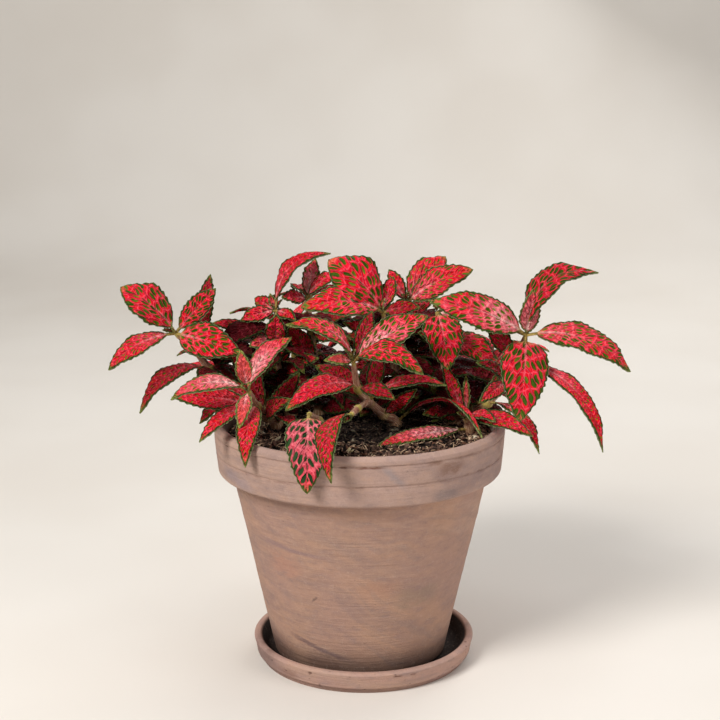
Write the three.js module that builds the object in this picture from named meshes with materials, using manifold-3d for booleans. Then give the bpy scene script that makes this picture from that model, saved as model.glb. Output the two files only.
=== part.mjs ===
// Potted nerve plant: clay pot on its clay saucer, filled with soil, with leafy shoots rooted in it.
// Units are millimetres, +Z is up, the viewer stands on the -Y side and X runs to the right.
// The origin is on the pot's axis at the level of the table.
import * as THREE from "three";
import { mergeVertices } from "three/addons/utils/BufferGeometryUtils.js";
import Module from "manifold-3d";

const wasm = await Module();
wasm.setup();

// Driving dimensions of the pot
const RIM_RADIUS = 70;
const POT_TOP = 120;
const BAND_BOTTOM = 96.5;
const BAND_BOTTOM_RADIUS = 68.4;
const BODY_TOP_RADIUS = 62;
const FOOT_RADIUS = 42;
const MOUTH_RADIUS = 65.5;
const WALL = 5;
const GROOVE_DEPTH = 0.7;
const GROOVE_HALF_HEIGHT = 0.6;
const UPPER_GROOVE_Z = 116;
const LOWER_GROOVE_Z = 106.5;
const DRAIN_RADIUS = 7;

// Driving dimensions of the saucer
const SAUCER_FLOOR = 5;
const SAUCER_LIP_Z = 12.6;
const SAUCER_OUTER_RADIUS = 54.3;
const SAUCER_INNER_RADIUS = 50;
const SAUCER_FOOT_RADIUS = 50.5;
const SAUCER_STEP_Z = 4;
const SAUCER_OFFSET_X = 1.8;

// Driving dimensions of the soil
const SOIL_EDGE_Z = 113.5;
const SOIL_CENTRE_Z = 116.5;
const FIT_GAP = 0.3;
const ROOT_FLOOR_Z = 98;

// Driving dimensions of the stems and the leaves
const STEM_BASE_RADIUS = 2.1;
const STEM_TIP_RADIUS = 1.2;
const NODE_SWELL = 1.3;
const STEM_SIDES = 6;
const BLADE_THICKNESS = 0.7;
const STALK_HALF_WIDTH = 0.8;
const STALK_THICKNESS = 1.3;
const STALK_SHARE = 0.1;
const BLADE_FOLD = 0.16;
const TOOTH_OUT = 1.12;
const TOOTH_IN = 0.95;
const TOOTH_LEAN = 0.62;
const TIP_SHARE = 0.35;
const NARROW_LEAF = 12;
const BROAD_LEAF = 14;

const ROUND_SEGMENTS = 32;

// Leafy stems. Each path runs from the root in the soil to the growing tip, and a branch starts on it.
// A leaf row holds: point number along the paths, tip x, y, z, width, arch as a share of the length,
// the direction x, y, z that the upper face looks in and, where the rule by width doesn't fit,
// how far the widest place lies towards the tip.
const SHOOTS = {
  far_left: {
    paths: [
      [[-46, 18, 98], [-46, 18, 119], [-56, 14, 130], [-72, 6, 143], [-78, 0, 153], [-87, -6, 163]],
    ],
    leaves: [
      [5, -112, -8, 186, 19, 0.17, 0.5, -0.9, 0.6, 1.05],
      [5, -68, 0, 184, 11, 0.08, 0, -1, 0.3],
      [5, -118, -18, 148, 11, 0.18, 0, -0.7, 0.7],
      [5, -55, -22, 157, 17, 0.08, 0, -1, 0.5],
      [4, -72, 14, 189, 9, 0.06, 0, -1, 0],
      [3, -104, -20, 128, 11, 0.25, -0.4, -0.7, 0.7],
      [4, -56, 2, 150, 8, 0.1, 0, -0.7, 0.7],
      [2, -78, 0, 118, 9, 0.12, -0.3, -0.6, 0.6],
      [3, -58, -8, 138, 9, 0.12, 0.1, -0.8, 0.5],
    ],
  },
  front_left: {
    paths: [
      [[-40, -2, 98], [-40, -2, 118], [-44, -8, 123], [-48, -20, 131], [-51, -31, 141]],
    ],
    leaves: [
      [4, -86, -42, 140, 10, 0.23, 0, -0.6, 0.8],
      [3, -87, -28, 138, 12, 0.1, 0, -0.8, 0.6],
      [4, -54, -36, 161, 8, 0.05, 0, -1, 0.2],
      [4, -31, -32, 167, 12, 0.19, -0.5, -0.7, 0.5],
      [4, -54, -49, 128, 7, 0.12, 0, -1, 0.4],
      [3, -51, -59, 113, 11, 0.2, -0.1, -1, 0.6],
      [3, -73, -45, 121, 9, 0.15, -0.3, -0.7, 0.7],
      [2, -28, -18, 147, 9, 0.1, 0.2, -0.9, 0.4],
      [2, -32, -34, 138, 9, 0.12, -0.2, -0.9, 0.4],
      [1, -66, -26, 125, 9, 0.2, -0.2, -0.6, 0.8],
      [2, -62, -16, 161, 11, 0.08, 0.3, 1, 0.3],
      [3, -66, -8, 140, 9, 0.12, -0.2, -0.5, 0.8],
      [1, -30, -34, 124, 9, 0.12, 0.2, -0.6, 0.8],
    ],
  },
  left_back: {
    paths: [
      [[-34, 14, 98], [-34, 14, 119], [-38, 16, 137], [-41, 18, 153], [-44, 22, 165]],
    ],
    leaves: [
      [4, -14, 26, 198, 11, 0.3, -0.6, -0.6, 0.6],
      [4, -31, 8, 167, 7, 0.1, 0, -0.8, 0.6],
      [4, -44, 20, 178, 4, 0.05, 0, -1, 0],
      [4, -52, 25, 175, 8, 0.08, 0, -1, 0.4],
      [4, -58, 12, 166, 9, 0.1, 0, -0.8, 0.6],
      [3, -53, 4, 155, 10, 0.1, -0.2, -0.8, 0.6],
      [3, -73, 20, 164, 9, 0.1, 0, -0.7, 0.7],
      [2, -20, 2, 150, 10, 0.1, 0.2, -0.7, 0.7],
      [2, -62, 0, 142, 10, 0.12, -0.2, -0.7, 0.7],
      [1, -30, -10, 136, 9, 0.08, 0, -1, 0.3],
      [3, -24, 30, 152, 9, 0.12, 0, 0, 1],
      [3, -40, 4, 170, 11, 0.08, 0, -1, 0.3],
      [1, -24, 40, 130, 9, 0.14, 0, 0.3, 1],
    ],
  },
  back_mid: {
    paths: [
      [[-20, 20, 98], [-20, 20, 119], [-22, 22, 139], [-24, 24, 158], [-26, 26, 174]],
    ],
    leaves: [
      [4, -22, 30, 194, 9, 0.06, -0.3, -1, 0.2],
      [4, -8, 22, 188, 9, 0.18, -0.3, -0.6, 0.7],
      [4, -4, 42, 177, 9, 0.12, 0, 0, 1],
      [4, -38, 16, 177, 8, 0.08, 0, -0.8, 0.5],
      [2, -34, 2, 166, 11, 0.08, 0.1, 1, 0.3],
      [3, -46, 40, 160, 10, 0.12, -0.2, -0.4, 0.9],
      [3, -5, 6, 158, 11, 0.1, 0.1, -0.9, 0.5],
      [2, -10, -2, 140, 10, 0.1, 0, -0.9, 0.5],
      [1, 2, 0, 126, 10, 0.12, 0, -0.8, 0.6],
      [2, 0, 34, 146, 10, 0.12, 0, 0.2, 1],
      [4, -46, 38, 172, 8, 0.12, -0.2, 0.2, 1],
      [1, -6, 40, 130, 9, 0.14, 0, 0.2, 1],
      [3, 0, 24, 168, 9, 0.12, 0.2, -0.4, 0.9],
      [4, -34, 52, 176, 9, 0.12, 0, 0.3, 1],
    ],
  },
  centre: {
    paths: [
      [[17, -2, 98], [17, -2, 118], [11, -7, 124], [4, -14, 132], [-1, -18, 139], [-3, -24, 153]],
      [[4, -14, 132], [-1, -32, 133], [-4, -44, 133]],
    ],
    leaves: [
      [5, -34, -32, 173, 10.5, 0.27, 0.4, -0.6, 0.7],
      [5, -16, -38, 157, 6, 0.08, 0, -0.8, 0.5],
      [4, -34, -46, 136, 13, 0.2, -0.1, -0.7, 0.8],
      [5, 31, -28, 176, 15, 0.13, 0, -0.8, 0.6, 0.9],
      [5, 29, -44, 152, 14, 0.28, 0, -0.6, 0.8],
      [3, 40, -28, 144, 9, 0.17, 0, -0.5, 0.9],
      [8, -13, -84, 113, 12.5, 0.24, -0.5, -1, 0.2, 0.8],
      [3, -21, -14, 150, 12, 0.12, 0.2, -0.7, 0.6],
      [1, 57, -38, 122, 9, 0.26, 0, 0.4, 0.9],
      [2, 26, -24, 140, 7, 0.06, 0, -1, 0.2],
      [3, 10, -6, 156, 8, 0.06, 0, -1, 0.1],
      [4, 16, -34, 138, 9, 0.12, 0.1, -0.7, 0.7],
      [5, 6, -14, 176, 8, 0.08, 0, -1, 0.2],
    ],
  },
  front_low: {
    paths: [
      [[-12, -24, 98], [-12, -24, 118], [-15, -36, 128], [-18, -46, 134]],
    ],
    leaves: [
      [3, -23, -74, 105, 20, 0.16, 0, -1, 0.4, 0.64],
    ],
  },
  top: {
    paths: [
      [[22, 24, 98], [22, 24, 119], [18, 18, 137], [14, 10, 155], [11, 4, 171]],
    ],
    leaves: [
      [4, -15, 2, 197.5, 25, 0.15, 0.5, -1, 0.6, 1.05],
      [4, -28, -12, 177, 16, 0.2, 0, -0.8, 0.6, 0.95],
      [4, 16, 12, 188, 8, 0.06, -0.2, -1, 0.2],
      [3, 20, -14, 152, 9, 0.1, 0.1, -0.8, 0.6],
      [2, -6, 14, 156, 12, 0.12, -0.2, -0.7, 0.7],
      [2, 30, 2, 140, 10, 0.12, 0.2, -0.7, 0.7],
      [3, -6, -6, 162, 11, 0.12, 0, -0.8, 0.5],
      [2, 4, -2, 128, 9, 0.1, 0, -0.7, 0.7],
      [3, 36, 20, 160, 9, 0.12, 0.2, -0.2, 1],
      [2, 2, 38, 142, 9, 0.12, -0.2, 0.2, 1],
      [3, -8, -2, 168, 9, 0.1, -0.1, -0.8, 0.5],
      [4, 28, -8, 176, 9, 0.1, 0.1, -0.8, 0.5],
      [1, 4, 8, 138, 9, 0.1, 0, -0.8, 0.5],
    ],
  },
  top_right: {
    paths: [
      [[26, 42, 98], [26, 42, 119], [27, 36, 138], [26, 28, 159], [23, 20, 173]],
    ],
    leaves: [
      [4, 42, 24, 196, 16, 0.16, -0.2, -0.8, 0.6, 0.95],
      [4, 54, 8, 192, 15, 0.14, 0, -0.8, 0.6, 0.9],
      [4, 14, 28, 189, 8, 0.06, 0, -1, 0.1],
      [3, 40, 54, 176, 12, 0.12, 0.1, 0.2, 1],
      [3, 0, 40, 166, 11, 0.12, -0.2, 0.2, 1],
      [2, 6, 54, 150, 9, 0.12, -0.2, 0.3, 1],
      [2, 48, 50, 150, 9, 0.12, 0.2, 0.3, 1],
      [1, 8, 30, 126, 9, 0.12, -0.1, -0.4, 0.8],
    ],
  },
  mid_right: {
    paths: [
      [[44, 22, 98], [44, 22, 119], [42, 18, 137], [40, 12, 155], [37, 6, 171]],
    ],
    leaves: [
      [4, 41, -18, 148, 19, 0.13, 0.1, -1, 0.4, 0.7],
      [4, 47, 0, 171, 5, 0.06, 0, -0.9, 0.4],
      [4, 48, 8, 180, 5, 0.06, 0, -1, 0.2],
      [3, 52, 2, 157, 6, 0.1, 0.2, -0.8, 0.5],
      [3, 66, -4, 147, 15, 0.22, 0.2, -0.8, 0.6],
      [2, 62, 8, 142, 10, 0.12, 0.2, -0.6, 0.7],
      [2, 34, -10, 138, 10, 0.1, 0, -0.9, 0.4],
      [3, 28, -8, 164, 10, 0.1, -0.1, -0.9, 0.4],
      [1, 24, 6, 128, 10, 0.12, 0, -0.8, 0.6],
      [1, 62, 4, 126, 9, 0.12, 0.2, -0.5, 0.8],
    ],
  },
  right: {
    paths: [
      [
        [46, 8, 98],
        [46, 8, 117],
        [53, 2, 122],
        [61, -4, 129],
        [69, -8, 140],
        [73, -12, 151],
        [77, -16, 164],
      ],
    ],
    leaves: [
      [6, 111, -12, 194, 16, 0.38, -0.5, -0.6, 0.7, 0.85],
      [6, 79, -24, 187, 9.5, 0.08, 0, -1, 0.2, 0.8],
      [6, 125, -30, 150, 15, 0.24, 0, -0.7, 0.7],
      [5, 113, -36, 113, 10, 0.24, 0.4, -0.7, 0.7],
      [6, 72, -42, 129, 22, 0.12, 0, -1, 0.35, 0.66],
      [6, 32, -24, 182, 17, 0.19, 0, -0.9, 0.5, 0.9],
      [6, 54, -6, 166, 9, 0.06, 0, 0.2, 1],
      [3, 83, -36, 113, 8, 0.18, 0.3, -0.4, 0.9],
      [4, 54, -22, 153, 8, 0.12, 0, -0.7, 0.7],
      [4, 48, -6, 146, 7, 0.06, 0, -0.8, 0.5],
      [4, 55, -28, 135, 8, 0.1, -0.1, -1, 0.3],
      [3, 64, -16, 146, 5, 0.06, 0, -1, 0.2],
      [3, 76, 10, 130, 7, 0.1, 0.2, 0.4, 0.8],
      [2, 58, 22, 140, 9, 0.1, 0, -0.9, 0.5],
      [1, 30, -16, 127, 10, 0.12, 0, -0.8, 0.6],
      [5, 58, -14, 172, 9, 0.08, -0.1, -0.9, 0.4],
      [2, 34, -6, 136, 9, 0.1, -0.1, -0.8, 0.5],
    ],
  },
  right_low: {
    paths: [
      [[52, -8, 98], [52, -8, 117], [50, -12, 123]],
    ],
    leaves: [
      [2, 79, -38, 122, 10, 0.16, 0, -0.7, 0.7],
      [1, 7, -38, 117.5, 10, 0.03, 0, -0.5, 0.9],
      [2, 39, -9, 150, 7, 0.06, 0, -1, 0.2],
      [2, 50, -10, 144, 4, 0.05, 0, -1, 0.2],
      [2, 62, -34, 128, 8, 0.12, 0.1, -0.7, 0.7],
    ],
  },
};

// Shoots on the far side follow one rule: compass angle in degrees, distance of the root from the axis,
// distance and height of the growing tip, and the seed of the small random draws.
const REAR_SHOOTS = {
  rear_right: [32, 54, 76, 136, 1],
  rear_right_high: [60, 54, 72, 155, 11],
  rear_middle: [88, 54, 84, 146, 13],
  rear_left_high: [121, 54, 72, 150, 1],
  rear_left: [152, 54, 76, 136, 1],
};

// Small random draws, the same on every run
function drawsFrom(seed) {
  const modulus = 4294967296;
  let state = (seed * 2654435761) % modulus;
  return () => {
    state = (Math.imul(state, 1664525) + 1013904223) >>> 0;
    return state / modulus;
  };
}

// A far-side shoot: a stem that leans outwards, with leaf pairs that turn a quarter from node to node
function rearShoot([degrees, rootReach, tipReach, tipHeight, seed]) {
  const draw = drawsFrom(seed);
  const angle = THREE.MathUtils.degToRad(degrees);
  const outward = new THREE.Vector3(Math.cos(angle), Math.sin(angle), 0);
  const sideways = new THREE.Vector3(-Math.sin(angle), Math.cos(angle), 0);
  const up = new THREE.Vector3(0, 0, 1);
  const soilTop = 119;
  const at = (reach, height) => outward.clone().multiplyScalar(reach).setZ(height);
  const path = [at(rootReach, ROOT_FLOOR_Z), at(rootReach, soilTop)];
  const nodes = 3;
  for (let k = 1; k <= nodes; k += 1) {
    const share = k / nodes;
    const reach = rootReach + (tipReach - rootReach) * share ** 1.2;
    path.push(at(reach, soilTop + (tipHeight - soilTop) * share));
  }
  const leaves = [];
  const leaf = (node, way, length, width, arch) => {
    const tip = path[node].clone().addScaledVector(way.normalize(), length);
    const face = up.clone().addScaledVector(outward, 0.35);
    leaves.push([node, tip.x, tip.y, tip.z, width, arch, face.x, face.y, face.z]);
  };
  for (let node = 2; node <= nodes + 1; node += 1) {
    const across = node % 2 === 0;
    const rise = node === nodes + 1 ? 0.35 : 0.05;
    for (const side of [-1, 1]) {
      const main = across ? sideways.clone() : outward.clone();
      const way = main.multiplyScalar(side).addScaledVector(up, rise + 0.25 * (draw() - 0.5));
      way.addScaledVector(outward, across ? 0.35 : 0);
      const inward = !across && side < 0;
      const length = inward ? 24 + 5 * draw() : 33 + 9 * draw();
      leaf(node, way, length, inward ? 9 : 12 + 4 * draw(), 0.12 + 0.08 * draw());
    }
  }
  return { paths: [path.map((p) => p.toArray())], leaves };
}

function material(colour, roughness) {
  return new THREE.MeshStandardMaterial({ color: colour, roughness, metalness: 0 });
}

const CLAY = material(0xb09282, 0.85);
const SAUCER_CLAY = material(0xa88878, 0.85);
const SOIL = material(0x2a1f18, 0.95);
const LEAF = material(0xb3293a, 0.5);

// A closed solid from loose triangles
function solidFromGeometry(geometry) {
  geometry.deleteAttribute("normal");
  geometry.deleteAttribute("uv");
  const merged = mergeVertices(geometry, 1e-4);
  return new wasm.Manifold(
    new wasm.Mesh({
      numProp: 3,
      vertProperties: new Float32Array(merged.attributes.position.array),
      triVerts: new Uint32Array(merged.index.array),
    }),
  );
}

function solidFromLists(points, triangles) {
  const geometry = new THREE.BufferGeometry();
  const flat = points.flatMap((p) => [p.x, p.y, p.z]);
  geometry.setAttribute("position", new THREE.Float32BufferAttribute(flat, 3));
  geometry.setIndex(triangles.flat());
  return solidFromGeometry(geometry);
}

function meshFromSolid(name, solid, meshMaterial) {
  const out = solid.getMesh();
  const geometry = new THREE.BufferGeometry();
  geometry.setAttribute("position", new THREE.BufferAttribute(out.vertProperties, 3));
  geometry.setIndex(new THREE.BufferAttribute(out.triVerts, 1));
  const flat = geometry.toNonIndexed();
  flat.computeVertexNormals();
  const mesh = new THREE.Mesh(flat, meshMaterial);
  mesh.name = name;
  return mesh;
}

// A turned solid: the profile lists radius and height, from the axis round and back to the axis
function turned(profile, segments = ROUND_SEGMENTS) {
  const points = profile.map(([r, z]) => new THREE.Vector2(r, z));
  const geometry = new THREE.LatheGeometry(points, segments);
  geometry.rotateX(Math.PI / 2);
  return solidFromGeometry(geometry);
}

function outerRadiusAt(z) {
  const share = (z - SAUCER_FLOOR) / (BAND_BOTTOM - SAUCER_FLOOR);
  return FOOT_RADIUS + (BODY_TOP_RADIUS - FOOT_RADIUS) * share;
}

function innerRadiusAt(z) {
  const floor = SAUCER_FLOOR + WALL;
  const share = (z - floor) / (POT_TOP - floor);
  return FOOT_RADIUS - WALL + (MOUTH_RADIUS - FOOT_RADIUS + WALL) * share;
}

function bandRadiusAt(z) {
  const share = (z - BAND_BOTTOM) / (UPPER_GROOVE_Z - BAND_BOTTOM);
  return BAND_BOTTOM_RADIUS + (RIM_RADIUS - BAND_BOTTOM_RADIUS) * share;
}

function groove(z) {
  const radius = bandRadiusAt(z);
  return [
    [radius, z - GROOVE_HALF_HEIGHT],
    [radius - GROOVE_DEPTH, z],
    [radius, z + GROOVE_HALF_HEIGHT],
  ];
}

// The pot: a tapered body under a thick banded rim, open at the top, with a drain hole in its floor
function buildPot() {
  const floorTop = SAUCER_FLOOR + WALL;
  const edge = 1;
  return turned([
    [DRAIN_RADIUS, SAUCER_FLOOR],
    [FOOT_RADIUS - edge, SAUCER_FLOOR],
    [FOOT_RADIUS, SAUCER_FLOOR + edge],
    [outerRadiusAt(BAND_BOTTOM - edge), BAND_BOTTOM - edge],
    [BODY_TOP_RADIUS + edge, BAND_BOTTOM],
    [BAND_BOTTOM_RADIUS - edge, BAND_BOTTOM],
    [BAND_BOTTOM_RADIUS, BAND_BOTTOM + edge],
    ...groove(LOWER_GROOVE_Z),
    ...groove(UPPER_GROOVE_Z),
    [RIM_RADIUS, POT_TOP - 1.6],
    [RIM_RADIUS - 1.6, POT_TOP],
    [MOUTH_RADIUS + 1.2, POT_TOP],
    [innerRadiusAt(POT_TOP - edge), POT_TOP - edge],
    [innerRadiusAt(floorTop), floorTop],
    [DRAIN_RADIUS, floorTop],
    [DRAIN_RADIUS, SAUCER_FLOOR],
  ]);
}

// The saucer: a shallow dish with an upright wall over a set-in foot
function buildSaucer() {
  const edge = 1.2;
  const dish = turned([
    [0, 0],
    [SAUCER_FOOT_RADIUS - edge, 0],
    [SAUCER_FOOT_RADIUS, edge],
    [SAUCER_FOOT_RADIUS + 0.5, SAUCER_STEP_Z],
    [SAUCER_OUTER_RADIUS - 1.6, SAUCER_STEP_Z + 0.6],
    [SAUCER_OUTER_RADIUS - 0.6, SAUCER_LIP_Z - 2.2],
    [SAUCER_OUTER_RADIUS, SAUCER_LIP_Z - 1],
    [SAUCER_OUTER_RADIUS - edge, SAUCER_LIP_Z],
    [SAUCER_INNER_RADIUS + edge, SAUCER_LIP_Z],
    [SAUCER_INNER_RADIUS, SAUCER_LIP_Z - edge],
    [SAUCER_INNER_RADIUS - 3, SAUCER_FLOOR + 1],
    [SAUCER_INNER_RADIUS - 5, SAUCER_FLOOR],
    [0, SAUCER_FLOOR],
  ]);
  return dish.translate([SAUCER_OFFSET_X, 0, 0]);
}

// The soil: fills the pot from its floor, a little higher in the middle, with a plain hole for each stem
function buildSoil(shoots) {
  const bottom = SAUCER_FLOOR + WALL;
  const moundRadius = 30;
  const mass = turned([
    [0, bottom],
    [innerRadiusAt(bottom) - FIT_GAP, bottom],
    [innerRadiusAt(SOIL_EDGE_Z) - FIT_GAP, SOIL_EDGE_Z],
    [moundRadius, SOIL_CENTRE_Z],
    [0, SOIL_CENTRE_Z],
  ]);
  const height = POT_TOP - ROOT_FLOOR_Z;
  const holes = Object.values(shoots).map((shoot) => {
    const [x, y] = shoot.paths[0][0];
    const radius = STEM_BASE_RADIUS + 2 * FIT_GAP;
    const hole = new THREE.CylinderGeometry(radius, radius, height, STEM_SIDES);
    hole.rotateY(Math.PI / 2);
    hole.rotateX(Math.PI / 2);
    hole.translate(x, y, ROOT_FLOOR_Z + height / 2);
    return solidFromGeometry(hole);
  });
  return holes.reduce((soil, hole) => soil.subtract(hole), mass);
}

// A stem: a six-sided tube with a ring at each point of its path, thinner towards the growing tip
function buildStem(path, startRadius, endRadius) {
  const points = path.map((p) => new THREE.Vector3(...p));
  const vertices = [];
  const triangles = [];
  const side = new THREE.Vector3(1, 0, 0);
  points.forEach((point, i) => {
    const before = points[Math.max(i - 1, 0)];
    const after = points[Math.min(i + 1, points.length - 1)];
    const forward = after.clone().sub(before).normalize();
    if (i === 0) {
      forward.subVectors(points[1], points[0]).normalize();
      side.set(forward.z, 0, -forward.x);
    }
    side.addScaledVector(forward, -side.dot(forward)).normalize();
    const up = new THREE.Vector3().crossVectors(forward, side);
    const taper = i / (points.length - 1);
    const swell = i > 1 ? NODE_SWELL : 1;
    const radius = (startRadius + (endRadius - startRadius) * taper) * swell;
    for (let k = 0; k < STEM_SIDES; k += 1) {
      const turn = (2 * Math.PI * k) / STEM_SIDES;
      const vertex = point.clone().addScaledVector(side, radius * Math.cos(turn));
      vertices.push(vertex.addScaledVector(up, radius * Math.sin(turn)));
    }
  });
  const rings = points.length;
  for (let i = 0; i < rings - 1; i += 1) {
    for (let k = 0; k < STEM_SIDES; k += 1) {
      const a = i * STEM_SIDES + k;
      const b = i * STEM_SIDES + ((k + 1) % STEM_SIDES);
      triangles.push([a, b, b + STEM_SIDES], [a, b + STEM_SIDES, a + STEM_SIDES]);
    }
  }
  const last = (rings - 1) * STEM_SIDES;
  for (let k = 1; k < STEM_SIDES - 1; k += 1) {
    triangles.push([0, k + 1, k], [last, last + k, last + k + 1]);
  }
  return solidFromLists(vertices, triangles);
}

// Where a leaf is widest: broad leaves near the stalk, the others near the middle
function usualLean(width) {
  return width > BROAD_LEAF ? 0.74 : 0.92;
}

// Half the width of a leaf along its rib, as a share of the greatest half width
function leafOutline(share, lean) {
  return Math.sin(Math.PI * share ** lean) ** 0.75;
}

// A leaf: a thin folded and arched blade with a toothed edge on a short stalk.
// Both faces are split into triangles alike.
function buildLeaf(base, [, x, y, z, width, arch, faceX, faceY, faceZ, lean = usualLean(width)]) {
  const tip = new THREE.Vector3(x, y, z);
  const chord = tip.clone().sub(base);
  const length = chord.length();
  const along = chord.clone().normalize();
  const normal = new THREE.Vector3(faceX, faceY, faceZ);
  normal.addScaledVector(along, -normal.dot(along)).normalize();
  const across = new THREE.Vector3().crossVectors(along, normal);
  const control = base.clone().lerp(tip, 0.5).addScaledVector(normal, 2 * arch * length);
  const rib = new THREE.QuadraticBezierCurve3(base, control, tip);
  const teeth = 2 + (width > NARROW_LEAF) + (width > BROAD_LEAF);
  const halfWidth = width / 2;
  const vertices = [];
  const triangles = [];

  const addPair = (share, offset, thickness) => {
    const centre = rib.getPoint(share);
    const up = new THREE.Vector3().crossVectors(across, rib.getTangent(share));
    centre.addScaledVector(across, offset);
    centre.addScaledVector(up, Math.abs(offset) * BLADE_FOLD);
    vertices.push(centre.clone().addScaledVector(up, thickness / 2));
    vertices.push(centre.addScaledVector(up, -thickness / 2));
    return vertices.length - 2;
  };
  const addFaces = (a, b, c) => {
    triangles.push([a, b, c], [a + 1, c + 1, b + 1]);
  };
  const addEdge = (a, b) => {
    triangles.push([a, a + 1, b + 1], [a, b + 1, b]);
  };

  const stalkStart = [-1, 0, 1].map((k) => addPair(0, k * STALK_HALF_WIDTH, STALK_THICKNESS));
  const stalkEnd = [-1, 0, 1].map((k) => addPair(STALK_SHARE, k * STALK_HALF_WIDTH, BLADE_THICKNESS));
  for (const k of [0, 1]) {
    addFaces(stalkStart[k], stalkStart[k + 1], stalkEnd[k + 1]);
    addFaces(stalkStart[k], stalkEnd[k + 1], stalkEnd[k]);
    addEdge(stalkStart[k], stalkStart[k + 1]);
  }
  addEdge(stalkEnd[0], stalkStart[0]);
  addEdge(stalkStart[2], stalkEnd[2]);

  const shareAt = (k) => STALK_SHARE + (1 - STALK_SHARE) * k;
  let ribPoint = stalkEnd[1];
  let left = stalkEnd[0];
  let right = stalkEnd[2];
  for (let k = 0; k < teeth; k += 1) {
    const toothShare = (k + TOOTH_LEAN) / (teeth + TIP_SHARE);
    const toothReach = halfWidth * TOOTH_OUT * leafOutline(toothShare, lean);
    const leftTooth = addPair(shareAt(toothShare), -toothReach, BLADE_THICKNESS);
    const rightTooth = addPair(shareAt(toothShare), toothReach, BLADE_THICKNESS);
    const isTip = k === teeth - 1;
    const notchShare = isTip ? 1 : (k + 1) / (teeth + TIP_SHARE);
    const notchReach = halfWidth * TOOTH_IN * leafOutline(notchShare, lean);
    const nextRib = addPair(shareAt(notchShare), 0, BLADE_THICKNESS);
    const nextLeft = isTip ? nextRib : addPair(shareAt(notchShare), -notchReach, BLADE_THICKNESS);
    const nextRight = isTip ? nextRib : addPair(shareAt(notchShare), notchReach, BLADE_THICKNESS);
    addFaces(left, ribPoint, leftTooth);
    addFaces(ribPoint, nextRib, leftTooth);
    addFaces(ribPoint, right, rightTooth);
    addFaces(ribPoint, rightTooth, nextRib);
    if (!isTip) {
      addFaces(leftTooth, nextRib, nextLeft);
      addFaces(nextRib, rightTooth, nextRight);
    }
    addEdge(leftTooth, left);
    addEdge(nextLeft, leftTooth);
    addEdge(right, rightTooth);
    addEdge(rightTooth, nextRight);
    ribPoint = nextRib;
    left = nextLeft;
    right = nextRight;
  }
  return solidFromLists(vertices, triangles);
}

// A leafy stem fused into one body
function buildShoot({ paths, leaves }) {
  const points = paths.flat().map((p) => new THREE.Vector3(...p));
  const stems = paths.map((path, i) => {
    const start = i === 0 ? STEM_BASE_RADIUS : STEM_TIP_RADIUS;
    return buildStem(path, start, STEM_TIP_RADIUS);
  });
  const blades = leaves.map((row) => buildLeaf(points[row[0]], row));
  const [first, ...rest] = [...stems, ...blades];
  return rest.reduce((whole, piece) => whole.add(piece), first);
}

const shoots = { ...SHOOTS };
for (const [name, rule] of Object.entries(REAR_SHOOTS)) {
  shoots[name] = rearShoot(rule);
}

const plant = new THREE.Group();
plant.name = "potted_nerve_plant";
plant.add(meshFromSolid("saucer", buildSaucer(), SAUCER_CLAY));
plant.add(meshFromSolid("pot", buildPot(), CLAY));
plant.add(meshFromSolid("soil", buildSoil(shoots), SOIL));
for (const [name, shoot] of Object.entries(shoots)) {
  plant.add(meshFromSolid(`shoot_${name}`, buildShoot(shoot), LEAF));
}

export default plant;
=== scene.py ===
"""Potted nerve plant: looks of the clay pot, its saucer, the soil, the stems and the netted leaves."""

import logging
import math
import random
from dataclasses import dataclass, field
from enum import Enum
from typing import Any, Callable, Sequence

import bpy
import numpy as np
from mathutils import Matrix, Quaternion, Vector, noise

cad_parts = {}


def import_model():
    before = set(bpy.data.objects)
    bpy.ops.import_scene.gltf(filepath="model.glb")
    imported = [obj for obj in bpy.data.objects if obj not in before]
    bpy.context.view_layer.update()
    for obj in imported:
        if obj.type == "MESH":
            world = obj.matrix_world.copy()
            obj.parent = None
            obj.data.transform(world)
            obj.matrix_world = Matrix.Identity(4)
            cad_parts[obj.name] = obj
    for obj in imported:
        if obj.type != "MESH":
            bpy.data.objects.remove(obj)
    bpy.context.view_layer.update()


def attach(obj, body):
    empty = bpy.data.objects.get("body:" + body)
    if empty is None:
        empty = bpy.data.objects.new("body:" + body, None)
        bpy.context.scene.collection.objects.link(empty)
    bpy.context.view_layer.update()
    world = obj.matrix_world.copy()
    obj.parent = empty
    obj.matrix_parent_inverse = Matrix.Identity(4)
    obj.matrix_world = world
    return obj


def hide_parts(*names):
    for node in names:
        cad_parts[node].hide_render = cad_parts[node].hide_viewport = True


log = logging.getLogger("nerve_plant")

Point = tuple[float, float, float]
Section = Sequence[tuple[float, float]]
Tint = tuple[int, int, int]
Piece = bpy.types.Object
Material = bpy.types.Material

# Sizes shared with the solids, in millimetres
MM = 0.001
SAUCER_FLOOR = 5.0
WALL = 5.0
SOIL_EDGE = 113.5
SOIL_CENTRE = 116.5
SOIL_TOP = 119.0
ROOT_FLOOR = 98.0
STALK_SHARE = 0.1
BROAD_LEAF = 14.0

# How closely a turned body comes to its axis, in millimetres, and which of its points are one, in metres
AXIS_GAP = 0.02
WELD = 0.000001

# The bevel of clay edges, in metres, and the angles from which edges count as sharp, in degrees
ROUNDING = 0.0005
ROUNDED_FROM = 28
CLAY_CREASE = 40
PLANT_CREASE = 50

# A full turn of the leaves' waves
WAVE = 6.283


@dataclass(frozen=True)
class Mood:
    """How strongly a leaf shows each trait, from 0 to 1.

    Args:
        island: size and darkness of the green islands between the veins.
        pale: how pink the leaf is towards its stalk.
        deep: how dark and crimson it is, partly its own deep red and partly painted shade; at full strength
            painted shade alone.
        young: how much of the yellow green of a new leaf it has.
        rose: how dusky pink the whole leaf is.
    """

    island: float
    pale: float
    deep: float
    young: float = 0.0
    rose: float = 0.0


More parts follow.
